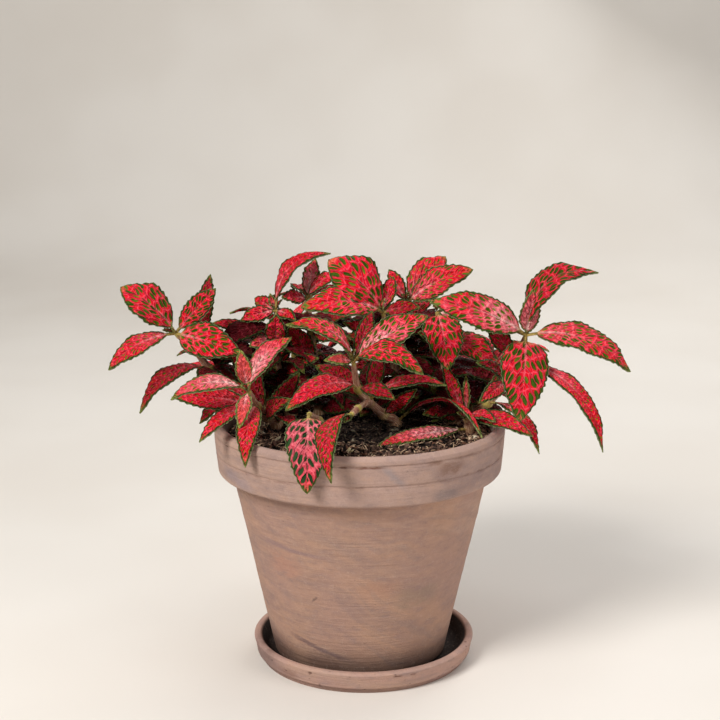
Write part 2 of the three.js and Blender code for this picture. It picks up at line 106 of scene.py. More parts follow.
class Tone(Enum):
    """The looks that single leaves of the plant have."""

    NETTED = Mood(0.85, 0.2, 0.12)
    SPECKLED = Mood(0.62, 0.5, 0.0, 0.1)
    BRIGHT = Mood(0.36, 0.4, 0.05)
    PALE = Mood(0.36, 1.0, 0.0, 0.2)
    # Partly the leaf's own dark crimson, partly painted shade.
    DEEP = Mood(0.45, 0.05, 0.58)
    YOUNG = Mood(0.12, 0.6, 0.0, 0.8)
    # Painted shade: near-black crimson for leaves deep inside the plant.
    SHADED = Mood(0.3, 0.0, 1.0)
    ROSE = Mood(0.9, 0.3, 0.0, 0.0, 1.0)
    WASHED = Mood(0.8, 0.86, 0.0)
    DUSKY = Mood(0.95, 0.1, 0.3)
    FRESH = Mood(0.1, 1.0, 0.0, 0.45, 0.75)
    RICH = Mood(0.5, 0.1, 0.28)


@dataclass(frozen=True)
class LeafPlan:
    """One leaf, in millimetres: where it grows from, where it ends and how it lies.

    A lean over 0 says how far its widest place lies towards the tip, where the rule by width doesn't.
    """

    node: int
    tip: Point
    width: float
    arch: float
    face: Point
    tone: Tone
    lean: float = 0.0


@dataclass(frozen=True)
class ShootPlan:
    """One leafy stem: its paths from the root to the growing tip, and its leaves."""

    paths: tuple[tuple[Point, ...], ...]
    leaves: tuple[LeafPlan, ...]


@dataclass(frozen=True)
class RearRule:
    """The rule for a shoot on the far side: angle in degrees, tip's reach and height in millimetres."""

    degrees: float
    tip_reach: float
    tip_height: float
    seed: int
    root_reach: float = 54.0


# Of each visible shoot: the paths of its stem, and its leaves as node, tip, width, arch, face, tone, lean
SHOOT_ROWS: dict[str, tuple[tuple[tuple[Point, ...], ...], tuple[tuple[Any, ...], ...]]] = {
    "far_left": (
        (((-46, 18, 98), (-46, 18, 119), (-56, 14, 130), (-72, 6, 143), (-78, 0, 153), (-87, -6, 163)),),
        (
            (5, -112, -8, 186, 19, 0.17, 0.5, -0.9, 0.6, "netted", 1.05),
            (5, -68, 0, 184, 11, 0.08, 0, -1, 0.3, "netted"),
            (5, -118, -18, 148, 11, 0.18, 0, -0.7, 0.7, "bright"),
            (5, -55, -22, 157, 17, 0.08, 0, -1, 0.5, "netted"),
            (4, -72, 14, 189, 9, 0.06, 0, -1, 0, "deep"),
            (3, -104, -20, 128, 11, 0.25, -0.4, -0.7, 0.7, "deep"),
            (4, -56, 2, 150, 8, 0.1, 0, -0.7, 0.7, "deep"),
            (2, -78, 0, 118, 9, 0.12, -0.3, -0.6, 0.6, "deep"),
            (3, -58, -8, 138, 9, 0.12, 0.1, -0.8, 0.5, "shaded"),
        ),
    ),
    "front_left": (
        (((-40, -2, 98), (-40, -2, 118), (-44, -8, 123), (-48, -20, 131), (-51, -31, 141)),),
        (
            (4, -86, -42, 140, 10, 0.23, 0, -0.6, 0.8, "pale"),
            (3, -87, -28, 138, 12, 0.1, 0, -0.8, 0.6, "bright"),
            (4, -54, -36, 161, 8, 0.05, 0, -1, 0.2, "young"),
            (4, -31, -32, 167, 12, 0.19, -0.5, -0.7, 0.5, "pale"),
            (4, -54, -49, 128, 7, 0.12, 0, -1, 0.4, "young"),
            (3, -51, -59, 113, 11, 0.2, -0.1, -1, 0.6, "bright"),
            (3, -73, -45, 121, 9, 0.15, -0.3, -0.7, 0.7, "bright"),
            (2, -28, -18, 147, 9, 0.1, 0.2, -0.9, 0.4, "deep"),
            (2, -32, -34, 138, 9, 0.12, -0.2, -0.9, 0.4, "deep"),
            (1, -66, -26, 125, 9, 0.2, -0.2, -0.6, 0.8, "deep"),
            (2, -62, -16, 161, 11, 0.08, 0.3, 1, 0.3, "deep"),
            (3, -66, -8, 140, 9, 0.12, -0.2, -0.5, 0.8, "deep"),
            (1, -30, -34, 124, 9, 0.12, 0.2, -0.6, 0.8, "deep"),
        ),
    ),
    "left_back": (
        (((-34, 14, 98), (-34, 14, 119), (-38, 16, 137), (-41, 18, 153), (-41, 21, 169)),),
        (
            (4, -14, 26, 198, 11, 0.3, -0.6, -0.6, 0.6, "bright"),
            (4, -31, 8, 167, 7, 0.1, 0, -0.8, 0.6, "bright"), (4, -44, 20, 178, 4, 0.05, 0, -1, 0, "young"),
            (4, -52, 25, 175, 8, 0.08, 0, -1, 0.4, "bright"),
            (4, -58, 12, 166, 9, 0.1, 0, -0.8, 0.6, "bright"),
            (3, -53, 4, 155, 10, 0.1, -0.2, -0.8, 0.6, "pale"),
            (3, -73, 20, 164, 9, 0.1, 0, -0.7, 0.7, "bright"),
            (2, -20, 2, 150, 10, 0.1, 0.2, -0.7, 0.7, "deep"),
            (2, -62, 0, 142, 10, 0.12, -0.2, -0.7, 0.7, "shaded"),
            (1, -30, -10, 136, 9, 0.08, 0, -1, 0.3, "shaded"), (3, -24, 30, 152, 9, 0.12, 0, 0, 1, "deep"),
            (3, -40, 4, 170, 11, 0.08, 0, -1, 0.3, "bright"),
            (1, -24, 40, 130, 9, 0.14, 0, 0.3, 1, "shaded"),
        ),
    ),
    "back_mid": (
        (((-20, 20, 98), (-20, 20, 119), (-22, 22, 139), (-24, 24, 158), (-26, 26, 174)),),
        (
            (4, -22, 30, 194, 9, 0.06, -0.3, -1, 0.2, "pale"),
            (4, -8, 22, 188, 9, 0.18, -0.3, -0.6, 0.7, "bright"),
            (4, -4, 42, 177, 9, 0.12, 0, 0, 1, "deep"), (4, -38, 16, 177, 8, 0.08, 0, -0.8, 0.5, "bright"),
            (2, -34, 2, 166, 11, 0.08, 0.1, 1, 0.3, "deep"),
            (3, -46, 40, 160, 10, 0.12, -0.2, -0.4, 0.9, "deep"),
            (3, -5, 6, 158, 11, 0.1, 0.1, -0.9, 0.5, "deep"),
            (2, -10, -2, 140, 10, 0.1, 0, -0.9, 0.5, "shaded"),
            (1, 2, 0, 126, 10, 0.12, 0, -0.8, 0.6, "shaded"),
            (2, 0, 34, 146, 10, 0.12, 0, 0.2, 1, "shaded"),
            (4, -46, 38, 172, 8, 0.12, -0.2, 0.2, 1, "deep"),
            (1, -6, 40, 130, 9, 0.14, 0, 0.2, 1, "shaded"),
            (3, 0, 24, 168, 9, 0.12, 0.2, -0.4, 0.9, "deep"), (4, -34, 52, 176, 9, 0.12, 0, 0.3, 1, "deep"),
        ),
    ),
    "centre": (
        (
            ((17, -2, 98), (17, -2, 118), (11, -7, 124), (4, -14, 132), (-1, -18, 139), (-3, -24, 153)),
            ((4, -14, 132), (-1, -32, 133), (-4, -44, 133)),
        ),
        (
            (5, -34, -32, 173, 10.5, 0.27, 0.4, -0.6, 0.7, "speckled"),
            (5, -16, -38, 157, 6, 0.08, 0, -0.8, 0.5, "young"),
            (4, -34, -46, 136, 13, 0.2, -0.1, -0.7, 0.8, "bright"),
            (5, 31, -28, 176, 15, 0.13, 0, -0.8, 0.6, "washed", 0.9),
            (5, 29, -44, 152, 14, 0.28, 0, -0.6, 0.8, "netted"),
            (3, 40, -28, 144, 9, 0.17, 0, -0.5, 0.9, "bright"),
            (8, -13, -84, 113, 12.5, 0.24, -0.5, -1, 0.2, "rich", 0.8),
            (3, -21, -14, 150, 12, 0.12, 0.2, -0.7, 0.6, "deep"),
            (1, 57, -38, 122, 9, 0.26, 0, 0.4, 0.9, "bright"),
            (2, 26, -24, 140, 7, 0.06, 0, -1, 0.2, "bright"), (3, 10, -6, 156, 8, 0.06, 0, -1, 0.1, "deep"),
            (4, 16, -34, 138, 9, 0.12, 0.1, -0.7, 0.7, "deep"),
            (5, 6, -14, 176, 8, 0.08, 0, -1, 0.2, "deep"),
        ),
    ),
    "front_low": (
        (((-14, -24, 98), (-14, -24, 118), (-19, -36, 128), (-23, -46, 134)),),
        (
            (3, -23, -74, 105, 20, 0.16, 0, -1, 0.4, "rose", 0.64),
        ),
    ),
    "top": (
        (((22, 24, 98), (22, 24, 119), (18, 18, 137), (14, 10, 155), (11, 4, 171)),),
        (
            (4, -15, 2, 197.5, 25, 0.15, 0.5, -1, 0.6, "netted", 1.05),
            (4, -28, -12, 177, 16, 0.2, 0, -0.8, 0.6, "speckled", 0.95),
            (4, 16, 12, 188, 8, 0.06, -0.2, -1, 0.2, "bright"),
            (3, 20, -14, 152, 9, 0.1, 0.1, -0.8, 0.6, "deep"),
            (2, -6, 14, 156, 12, 0.12, -0.2, -0.7, 0.7, "deep"),
            (2, 30, 2, 140, 10, 0.12, 0.2, -0.7, 0.7, "shaded"),
            (3, -6, -6, 162, 11, 0.12, 0, -0.8, 0.5, "deep"),
            (2, 4, -2, 128, 9, 0.1, 0, -0.7, 0.7, "shaded"),
            (3, 36, 20, 160, 9, 0.12, 0.2, -0.2, 1, "deep"),
            (2, 2, 38, 142, 9, 0.12, -0.2, 0.2, 1, "shaded"),
            (3, -8, -2, 168, 9, 0.1, -0.1, -0.8, 0.5, "deep"),
            (4, 28, -8, 176, 9, 0.1, 0.1, -0.8, 0.5, "deep"),
            (1, 4, 8, 138, 9, 0.1, 0, -0.8, 0.5, "shaded"),
        ),
    ),
    "top_right": (
        (((26, 42, 98), (26, 42, 119), (27, 36, 138), (26, 28, 159), (23, 20, 173)),),
        (
            (4, 42, 24, 196, 16, 0.16, -0.2, -0.8, 0.6, "speckled", 0.95),
            (4, 54, 8, 192, 15, 0.14, 0, -0.8, 0.6, "speckled", 0.9),
            (4, 14, 28, 189, 8, 0.06, 0, -1, 0.1, "bright"),
            (3, 40, 54, 176, 12, 0.12, 0.1, 0.2, 1, "netted"),
            (3, 0, 40, 166, 11, 0.12, -0.2, 0.2, 1, "netted"),
            (2, 6, 54, 150, 9, 0.12, -0.2, 0.3, 1, "deep"), (2, 48, 50, 150, 9, 0.12, 0.2, 0.3, 1, "deep"),
            (1, 8, 30, 126, 9, 0.12, -0.1, -0.4, 0.8, "shaded"),
        ),
    ),
    "mid_right": (
        (((44, 22, 98), (44, 22, 119), (42, 18, 137), (40, 12, 155), (37, 6, 171)),),
        (
            (4, 41, -18, 148, 19, 0.13, 0.1, -1, 0.4, "netted", 0.7),
            (4, 47, 0, 171, 5, 0.06, 0, -0.9, 0.4, "pale"), (4, 48, 8, 180, 5, 0.06, 0, -1, 0.2, "young"),
            (3, 52, 2, 157, 6, 0.1, 0.2, -0.8, 0.5, "young"),
            (3, 66, -4, 147, 15, 0.22, 0.2, -0.8, 0.6, "speckled"),
            (2, 62, 8, 142, 10, 0.12, 0.2, -0.6, 0.7, "bright"),
            (2, 34, -10, 138, 10, 0.1, 0, -0.9, 0.4, "shaded"),
            (3, 28, -8, 164, 10, 0.1, -0.1, -0.9, 0.4, "deep"),
            (1, 24, 6, 128, 10, 0.12, 0, -0.8, 0.6, "shaded"),
            (1, 62, 4, 126, 9, 0.12, 0.2, -0.5, 0.8, "shaded"),
        ),
    ),
    "right": (
        (
            (
                (46, 8, 98), (46, 8, 117), (53, 2, 122), (61, -4, 129),
                (69, -8, 140), (73, -12, 151), (77, -16, 164),
            ),
        ),
        (
            (6, 111, -12, 194, 16, 0.38, -0.5, -0.6, 0.7, "dusky", 0.85),
            (6, 79, -24, 187, 9.5, 0.08, 0, -1, 0.2, "fresh", 0.8),
            (6, 125, -30, 150, 15, 0.24, 0, -0.7, 0.7, "speckled"),
            (5, 113, -36, 113, 10, 0.24, 0.4, -0.7, 0.7, "bright"),
            (6, 72, -42, 129, 22, 0.12, 0, -1, 0.35, "netted", 0.66),
            (6, 32, -24, 182, 17, 0.19, 0, -0.9, 0.5, "washed", 0.9),
            (6, 54, -6, 166, 9, 0.06, 0, 0.2, 1, "deep"),
            (3, 83, -36, 113, 8, 0.18, 0.3, -0.4, 0.9, "bright"),
            (4, 54, -22, 153, 8, 0.12, 0, -0.7, 0.7, "deep"),
            (4, 48, -6, 146, 7, 0.06, 0, -0.8, 0.5, "shaded"),
            (4, 55, -28, 135, 8, 0.1, -0.1, -1, 0.3, "bright"),
            (3, 64, -16, 146, 5, 0.06, 0, -1, 0.2, "young"),
            (3, 76, 10, 130, 7, 0.1, 0.2, 0.4, 0.8, "deep"),
            (2, 58, 22, 140, 9, 0.1, 0, -0.9, 0.5, "shaded"),
            (1, 30, -16, 127, 10, 0.12, 0, -0.8, 0.6, "deep"),
            (5, 58, -14, 172, 9, 0.08, -0.1, -0.9, 0.4, "deep"),
            (2, 34, -6, 136, 9, 0.1, -0.1, -0.8, 0.5, "shaded"),
        ),
    ),
    "right_low": (
        (((52, -8, 98), (52, -8, 117), (50, -12, 123)),),
        (
            (2, 79, -38, 122, 10, 0.16, 0, -0.7, 0.7, "bright"),
            (1, 7, -38, 117.5, 10, 0.03, 0, -0.5, 0.9, "pale"),
            (2, 39, -9, 150, 7, 0.06, 0, -1, 0.2, "bright"),
            (2, 50, -10, 144, 4, 0.05, 0, -1, 0.2, "young"),
            (2, 62, -34, 128, 8, 0.12, 0.1, -0.7, 0.7, "bright"),
        ),
    ),
}

REAR_RULES: dict[str, RearRule] = {
    "rear_right": RearRule(32, 76, 136, 1),
    "rear_right_high": RearRule(60, 72, 155, 11),
    "rear_middle": RearRule(88, 84, 146, 13),
    "rear_left_high": RearRule(121, 72, 150, 1),
    "rear_left": RearRule(152, 76, 136, 1),
}


def read_leaf(row: Sequence[Any]) -> LeafPlan:
    """Turns a row of the table into a leaf's plan."""
    return LeafPlan(row[0], row[1:4], row[4], row[5], row[6:9], Tone[row[9].upper()], *row[10:])


def all_shoots() -> dict[str, ShootPlan]:
    """The plans of all shoots, visible and hidden, by name and in the order of building."""
    shoots = {}
    for name, (paths, rows) in SHOOT_ROWS.items():
        shoots[name] = ShootPlan(paths, tuple(read_leaf(row) for row in rows))
    for name, rule in REAR_RULES.items():
        shoots[name] = rear_shoot(rule)
    return shoots


def name_number(name: str) -> int:
    """A number that differs from name to name, to start random draws with."""
    return sum(ord(letter) for letter in name)


@dataclass
class Undergrowth:
    """The rule for the small leaves low inside the plant, near black with painted shade in front of
    lit_from, and for the buds at the growing tips.

    All in millimetres. The strip of soil in front stays open: leaves start behind front_base and end
    behind front_tip, and those that end before low_front stay under low_top.
    """

    spacing: float = 5.0
    lowest: float = 122.0
    lengths: tuple[float, float] = (22.0, 34.0)
    tries: int = 6
    reach: float = 80.0
    crown: float = 172.0
    droop: float = 22.0
    floor: float = 119.5
    front_base: float = -6.0
    front_tip: float = -16.0
    low_front: float = 8.0
    low_top: float = 144.0
    lit_from: float = 34.0
    bud_length: float = 8.0
    seed: int = 7

    def allowed(self, base: Vector, tip: Vector) -> bool:
        """True where a leaf stays inside the plant and off the open strip of soil in front."""
        spread = math.hypot(tip.x, tip.y)
        if spread > self.reach or tip.z < self.floor or base.y < self.front_base or tip.y < self.front_tip:
            return False
        if tip.y < self.low_front and tip.z > self.low_top:
            return False
        return tip.z < self.crown - self.droop * (spread / self.reach) ** 2

    def grow(self, base: Vector, heading: float, draw: random.Random) -> LeafPlan | None:
        """Tries a few times to lay out a small leaf.

        Args:
            base: the point of the stem that it grows from.
            heading: the angle round the stem that it heads for.
            draw: the shoot's random draws.

        Returns:
            The leaf's plan, or None where it has no room.
        """
        for _ in range(self.tries):
            angle = heading + draw.uniform(-0.5, 0.5)
            rise = draw.uniform(-0.35, 0.35)
            length = draw.uniform(*self.lengths)
            tip = base + Vector((math.cos(angle), math.sin(angle), rise)).normalized() * length
            if self.allowed(base, tip):
                tilt = Vector((draw.uniform(-0.3, 0.3), draw.uniform(-0.3, 0.3), 0))
                face = Vector((0, -0.35, 0.9)) + tilt
                # Leaves in front of lit_from take the shaded tone, which is painted shade.
                tone = Tone.SHADED if base.y < self.lit_from else draw.choice((Tone.DEEP, Tone.BRIGHT))
                width = length * draw.uniform(0.36, 0.46)
                return LeafPlan(0, tuple(tip), width, draw.uniform(0.1, 0.24), tuple(face), tone)
        return None

    def leaves(self, name: str, plan: ShootPlan) -> list[tuple[Vector, LeafPlan]]:
        """Lays out the small leaves of one shoot.

        Args:
            name: the shoot's name.
            plan: its paths and main leaves.

        Returns:
            The point that each leaf grows from, and its plan.
        """
        draw = random.Random(self.seed + name_number(name))
        result: list[tuple[Vector, LeafPlan]] = []
        path = [Vector(point) for point in plan.paths[0]]
        turn = draw.uniform(0, math.pi)
        for first, second in zip(path[1:], path[2:]):
            parts = max(1, round((second - first).length / self.spacing))
            for k in range(parts):
                base = first.lerp(second, (k + 0.5) / parts)
                turn += math.pi / 2 + draw.uniform(-0.4, 0.4)
                if base.z >= self.lowest:
                    pair = [self.grow(base, turn + side, draw) for side in (0, math.pi)]
                    result += [(base, leaf) for leaf in pair if leaf]
        return result

    def buds(self, name: str, plan: ShootPlan) -> list[tuple[Vector, LeafPlan]]:
        """Lays out two small young leaves at each growing tip of a shoot that has more than one leaf."""
        draw = random.Random(self.seed * 3 + name_number(name))
        result: list[tuple[Vector, LeafPlan]] = []
        for path in plan.paths if len(plan.leaves) > 1 else ():
            end, before = Vector(path[-1]), Vector(path[-2])
            way = (end - before).normalized()
            across = way.cross(Vector((0, 1, 0.2))).normalized()
            for side in (-1, 1):
                tip = end + way * self.bud_length * draw.uniform(0.75, 1.0)
                tip += across * side * draw.uniform(1.5, 3.0)
                face = across * -side + Vector((0, -0.5, 0.2))
                bud = LeafPlan(0, tuple(tip), draw.uniform(2.6, 3.6), 0.1, tuple(face), Tone.YOUNG)
                result.append((end, bud))
        return result


class Draws:
    """Small random draws, the same on every run and the same as those of the solids."""

    MODULUS = 2**32
    SPREAD = 2654435761
    FACTOR = 1664525
    STEP = 1013904223

    def __init__(self, seed: int) -> None:
        """Starts the row of draws from a seed."""
        self.state = (seed * self.SPREAD) % self.MODULUS

    def next(self) -> float:
        """Gives the next draw, from 0 to 1."""
        self.state = (self.state * self.FACTOR + self.STEP) % self.MODULUS
        return self.state / self.MODULUS


def rear_shoot(rule: RearRule) -> ShootPlan:
    """Lays out a far-side shoot: a stem that leans outwards, with leaf pairs a quarter turn apart.

    Args:
        rule: the shoot's angle, reaches, height and seed.

    Returns:
        The shoot's paths and leaves.
    """
    draws = Draws(rule.seed)
    angle = math.radians(rule.degrees)
    outward = Vector((math.cos(angle), math.sin(angle), 0))
    sideways = Vector((-math.sin(angle), math.cos(angle), 0))
    up = Vector((0, 0, 1))
    nodes = 3
    spots = [(rule.root_reach, ROOT_FLOOR), (rule.root_reach, SOIL_TOP)]
    for k in range(1, nodes + 1):
        share = k / nodes
        reach = rule.root_reach + (rule.tip_reach - rule.root_reach) * share**1.2
        spots.append((reach, SOIL_TOP + (rule.tip_height - SOIL_TOP) * share))
    path = [Vector((outward.x * reach, outward.y * reach, height)) for reach, height in spots]
    tones = (Tone.DEEP, Tone.BRIGHT, Tone.NETTED, Tone.SPECKLED)
    leaves = []
    for node in range(2, nodes + 2):
        across = node % 2 == 0
        rise = 0.35 if node == nodes + 1 else 0.05
        for side in (-1, 1):
            way = (sideways if across else outward) * side + up * (rise + 0.25 * (draws.next() - 0.5))
            way += outward * (0.35 if across else 0)
            inward = not across and side < 0
            length = 24 + 5 * draws.next() if inward else 33 + 9 * draws.next()
            width = 9.0 if inward else 12 + 4 * draws.next()
            arch = 0.12 + 0.08 * draws.next()
            tip = path[node] + way.normalized() * length
            tone = tones[(node + rule.seed + (side > 0)) % len(tones)]
            leaves.append(LeafPlan(node, tuple(tip), width, arch, tuple(up + outward * 0.35), tone))
    return ShootPlan((tuple(tuple(point) for point in path),), tuple(leaves))


def deselect() -> None:
    """Leaves object mode ready with nothing selected."""
    if bpy.context.object is not None and bpy.context.object.mode != "OBJECT":
        bpy.ops.object.mode_set(mode="OBJECT")
    bpy.ops.object.select_all(action="DESELECT")


def focus(piece: Piece) -> None:
    """Selects one piece alone and makes it the active one."""
    deselect()
    piece.select_set(True)
    bpy.context.view_layer.objects.active = piece


def edit(action: str = "SELECT") -> None:
    """Starts edit mode with all of the active mesh selected, or nothing of it."""
    bpy.ops.object.mode_set(mode="EDIT")
    bpy.ops.mesh.select_all(action=action)


def named(name: str) -> Piece:
    """Gives the piece that was just added its name, on the object and on its mesh."""
    piece = bpy.context.object
    piece.name = name
    piece.data.name = name
    return piece


def linked(name: str, data: bpy.types.ID) -> Piece:
    """Adds a piece that shows a mesh or curve."""
    piece = bpy.data.objects.new(name, data)
    bpy.context.scene.collection.objects.link(piece)
    return piece


def settle(piece: Piece) -> None:
    """Puts the piece's place, turn and size into its mesh."""
    focus(piece)
    bpy.ops.object.transform_apply(location=True, rotation=True, scale=True)


def apply_modifier(piece: Piece, kind: str, **settings: Any) -> None:
    """Adds a modifier to a piece and applies it.

    Args:
        piece: the piece that is shaped.
        kind: the modifier's kind, such as BEVEL.
        settings: the modifier's own values.
    """
    focus(piece)
    modifier = piece.modifiers.new(kind.title(), kind)
    for key, value in settings.items():
        setattr(modifier, key, value)
    bpy.ops.object.modifier_apply(modifier=modifier.name)


def vertex_array(mesh: bpy.types.Mesh) -> np.ndarray:
    """The mesh's points as an array of three columns, in metres."""
    values = np.empty(len(mesh.vertices) * 3)
    mesh.vertices.foreach_get("co", values)
    return values.reshape(-1, 3)


def set_vertex_array(mesh: bpy.types.Mesh, points: np.ndarray) -> None:
    """Moves the mesh's points to those of the array, in metres."""
    mesh.vertices.foreach_set("co", np.ascontiguousarray(points, dtype=float).ravel())
    mesh.update()


def write_vector(mesh: bpy.types.Mesh, name: str, columns: Sequence[np.ndarray | float]) -> None:
    """Stores three numbers with each point of a mesh, for its material to read.

    Args:
        mesh: the mesh.
        name: the name that the material reads them by.
        columns: three arrays or single numbers.
    """
    values = np.zeros((len(mesh.vertices), 3))
    for index, column in enumerate(columns):
        values[:, index] = column
    attribute = mesh.attributes.new(name=name, type="FLOAT_VECTOR", domain="POINT")
    attribute.data.foreach_set("vector", values.ravel())


def join(pieces: Sequence[Piece], name: str) -> Piece:
    """Joins pieces into one that carries the name."""
    deselect()
    for piece in pieces:
        piece.select_set(True)
    bpy.context.view_layer.objects.active = pieces[0]
    if len(pieces) > 1:
        bpy.ops.object.join()
    return named(name)


def sow(name: str, master: Piece, turns: Sequence[np.ndarray], places: Sequence[np.ndarray]) -> Piece:
    """Copies a small master to many places as one mesh, and takes the master away.

    Args:
        name: the new piece's name.
        master: the small shape, one unit in size and round its own middle.
        turns: for each copy, the matrix that turns and sizes it, in millimetres.
        places: for each copy, where its middle goes, in millimetres.

    Returns:
        The piece that holds all the copies.
    """
    shape = vertex_array(master.data)
    faces = [tuple(face.vertices) for face in master.data.polygons]
    points: list[np.ndarray] = []
    polygons: list[tuple[int, ...]] = []
    for copy, (turn, place) in enumerate(zip(turns, places)):
        start = copy * len(shape)
        points.append((shape @ turn.T + place) * MM)
        polygons += [tuple(corner + start for corner in face) for face in faces]
    mesh = bpy.data.meshes.new(name)
    mesh.from_pydata(np.concatenate(points).tolist(), [], polygons)
    mesh.update()
    bpy.data.objects.remove(master)
    return linked(name, mesh)


def smooth_step(values: np.ndarray, low: float, high: float) -> np.ndarray:
    """Rises softly from 0 at low to 1 at high."""
    share = np.clip((values - low) / (high - low), 0, 1)
    return share * share * (3 - 2 * share)


def smooth(piece: Piece, degrees: float) -> None:
    """Shades a piece smoothly, apart from edges sharper than the angle."""
    focus(piece)
    bpy.ops.object.shade_smooth_by_angle(angle=math.radians(degrees))


def belong(piece: Piece, node: str) -> None:
    """Makes a piece ride on the plant's one body, hides the node that it stands for, and logs its faces."""
    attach(piece, "root")
    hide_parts(node)
    log.info("%s: %d faces", piece.name, len(piece.data.polygons))


def shader_colour(tint: Tint) -> tuple[float, ...]:
    """Turns a colour of 0 to 255 as seen on a screen into the linear one that shaders use."""
    shares = [value / 255 for value in tint]
    parts = (share / 12.92 if share <= 0.04045 else ((share + 0.055) / 1.055) ** 2.4 for share in shares)
    return (*parts, 1.0)


def operator(operation: str, is_swapped: bool = False) -> Callable[["Wire", "Value"], "Wire"]:
    """Makes one of the arithmetic operators of a wire.

    Args:
        operation: what the maths node does.
        is_swapped: True where the wire comes second.

    Returns:
        The operator, which adds the maths node.
    """

    def operate(wire: "Wire", other: "Value") -> "Wire":
        """Adds the maths node for the wire and the other value."""
        return wire.sheet.math(operation, *((other, wire) if is_swapped else (wire, other)))

    return operate


class Wire:
    """A number, vector or colour on a node sheet. Arithmetic on it adds maths nodes."""

    __add__ = operator("ADD")
    __radd__ = operator("ADD", True)
    __sub__ = operator("SUBTRACT")
    __rsub__ = operator("SUBTRACT", True)
    __mul__ = operator("MULTIPLY")
    __truediv__ = operator("DIVIDE")
    most = operator("MAXIMUM")

    def __init__(self, sheet: "NodeSheet", socket: bpy.types.NodeSocket) -> None:
        """Stands for a socket that puts the value out."""
        self.sheet = sheet
        self.socket = socket

    def __abs__(self) -> "Wire":
        """The number without its sign."""
        return self.sheet.math("ABSOLUTE", self)

    def split(self) -> "list[Wire]":
        """The three numbers of a vector or colour."""
        return [Wire(self.sheet, socket) for socket in self.sheet.add("ShaderNodeSeparateXYZ", self).outputs]

    def step(self, low: "Value", high: "Value", to_low: "Value" = 0.0, to_high: "Value" = 1.0) -> "Wire":
        """A soft step from one number to another while this one goes from low to high."""
        values = (self, low, high, to_low, to_high)
        node = self.sheet.add("ShaderNodeMapRange", *values, interpolation_type="SMOOTHSTEP")
        return Wire(self.sheet, node.outputs[0])

    def noise(self, scale: float, detail: float, rough: float) -> "Wire":
        """A cloudy pattern from 0 to 1 at this place, about 0.5 on average."""
        values = {"Vector": self, "Scale": scale, "Detail": detail, "Roughness": rough}
        node = self.sheet.add("ShaderNodeTexNoise", noise_dimensions="3D", by_name=values)
        return Wire(self.sheet, node.outputs[0])

    def cells(self, scale: float, randomness: float, **settings: str) -> "list[Wire]":
        """Cells at this place: the distance that they measure and, if they have one, their colour."""
        values = {"Vector": self, "Scale": scale, "Randomness": randomness}
        node = self.sheet.add("ShaderNodeTexVoronoi", by_name=values, **settings)
        labels = [label for label in ("Distance", "Color") if label in node.outputs]
        return [Wire(self.sheet, node.outputs[label]) for label in labels]


Value = Wire | float | tuple[float, ...]


class NodeSheet:
    """Short calls that place and link shader nodes in one material or group."""

    NODES_PER_ROW = 9

    def __init__(self, tree: bpy.types.NodeTree) -> None:
        """Starts on an empty node tree."""
        self.tree = tree
        tree.nodes.clear()

    def add(
        self, kind: str, *values: Value, by_name: dict[str, Value] | None = None, **settings: Any
    ) -> bpy.types.Node:
        """Adds a node.

        Args:
            kind: the node's type.
            values: what feeds its first inputs, in their order.
            by_name: what feeds its other inputs, by their names.
            settings: the node's own properties.

        Returns:
            The node.
        """
        node = self.tree.nodes.new(kind)
        row, column = divmod(len(self.tree.nodes), self.NODES_PER_ROW)
        node.location = (180 * column, -220 * row)
        for key, value in settings.items():
            setattr(node, key, value)
        for socket, value in zip(node.inputs, values):
            self.feed(socket, value)
        for label, value in (by_name or {}).items():
            self.feed(node.inputs[label], value)
        return node

    def feed(self, target: bpy.types.NodeSocket, value: Value) -> None:
        """Links a wire to the target, or sets the target to a number, a vector or a screen colour."""
        if isinstance(value, Wire):
            self.tree.links.new(value.socket, target)
        else:
            target.default_value = shader_colour(value) if target.type == "RGBA" else value

    def math(self, operation: str, *values: Value, **settings: Any) -> Wire:
        """One step of arithmetic, on vectors where one of the values is a vector."""
        wires = [value for value in values if isinstance(value, Wire)]
        is_vector = any(wire.socket.type == "VECTOR" for wire in wires)
        kind = "ShaderNodeVectorMath" if is_vector else "ShaderNodeMath"
        node = self.add(kind, *values, operation=operation, **settings)
        return Wire(self, node.outputs[1 if operation in ("DISTANCE", "LENGTH") else 0])

    def mix(self, share: Value, first: Value, second: Value) -> Wire:
        """Mixes two colours."""
        node = self.add("ShaderNodeMix", share, data_type="RGBA")
        for socket, value in zip(node.inputs[6:8], (first, second)):
            self.feed(socket, value)
        return Wire(self, node.outputs[2])

    def layers(self, colour: Value, *coats: tuple[Value, Value]) -> Wire:
        """Lays colours over a first one, each as strongly as the mask before it says."""
        for mask, tint in coats:
            colour = self.mix(mask, colour, tint)
        return colour

    def vector(self, x: Value, y: Value, z: Value) -> Wire:
        """Makes a vector of three numbers."""
        return Wire(self, self.add("ShaderNodeCombineXYZ", x, y, z).outputs[0])

    def attribute(self, name: str) -> list[Wire]:
        """The three numbers that each point of the piece stores under this name."""
        node = self.add("ShaderNodeAttribute", attribute_type="GEOMETRY", attribute_name=name)
        return Wire(self, node.outputs["Vector"]).split()

    def place(self) -> Wire:
        """Object coordinates, in metres."""
        return Wire(self, self.add("ShaderNodeTexCoord").outputs["Object"])

    def group(self, name: str, *values: Value) -> list[Wire]:
        """Places a shared group, feeds its inputs and gives its outputs, both in their order."""
        node = self.add("ShaderNodeGroup", *values, node_tree=bpy.data.node_groups[name])
        return [Wire(self, socket) for socket in node.outputs]

    def put_out(self, **results: Wire) -> None:
        """Ends a group with one output for each result."""
        for label in results:
            self.tree.interface.new_socket(name=label, in_out="OUTPUT", socket_type="NodeSocketFloat")
        self.add("NodeGroupOutput", by_name=results)


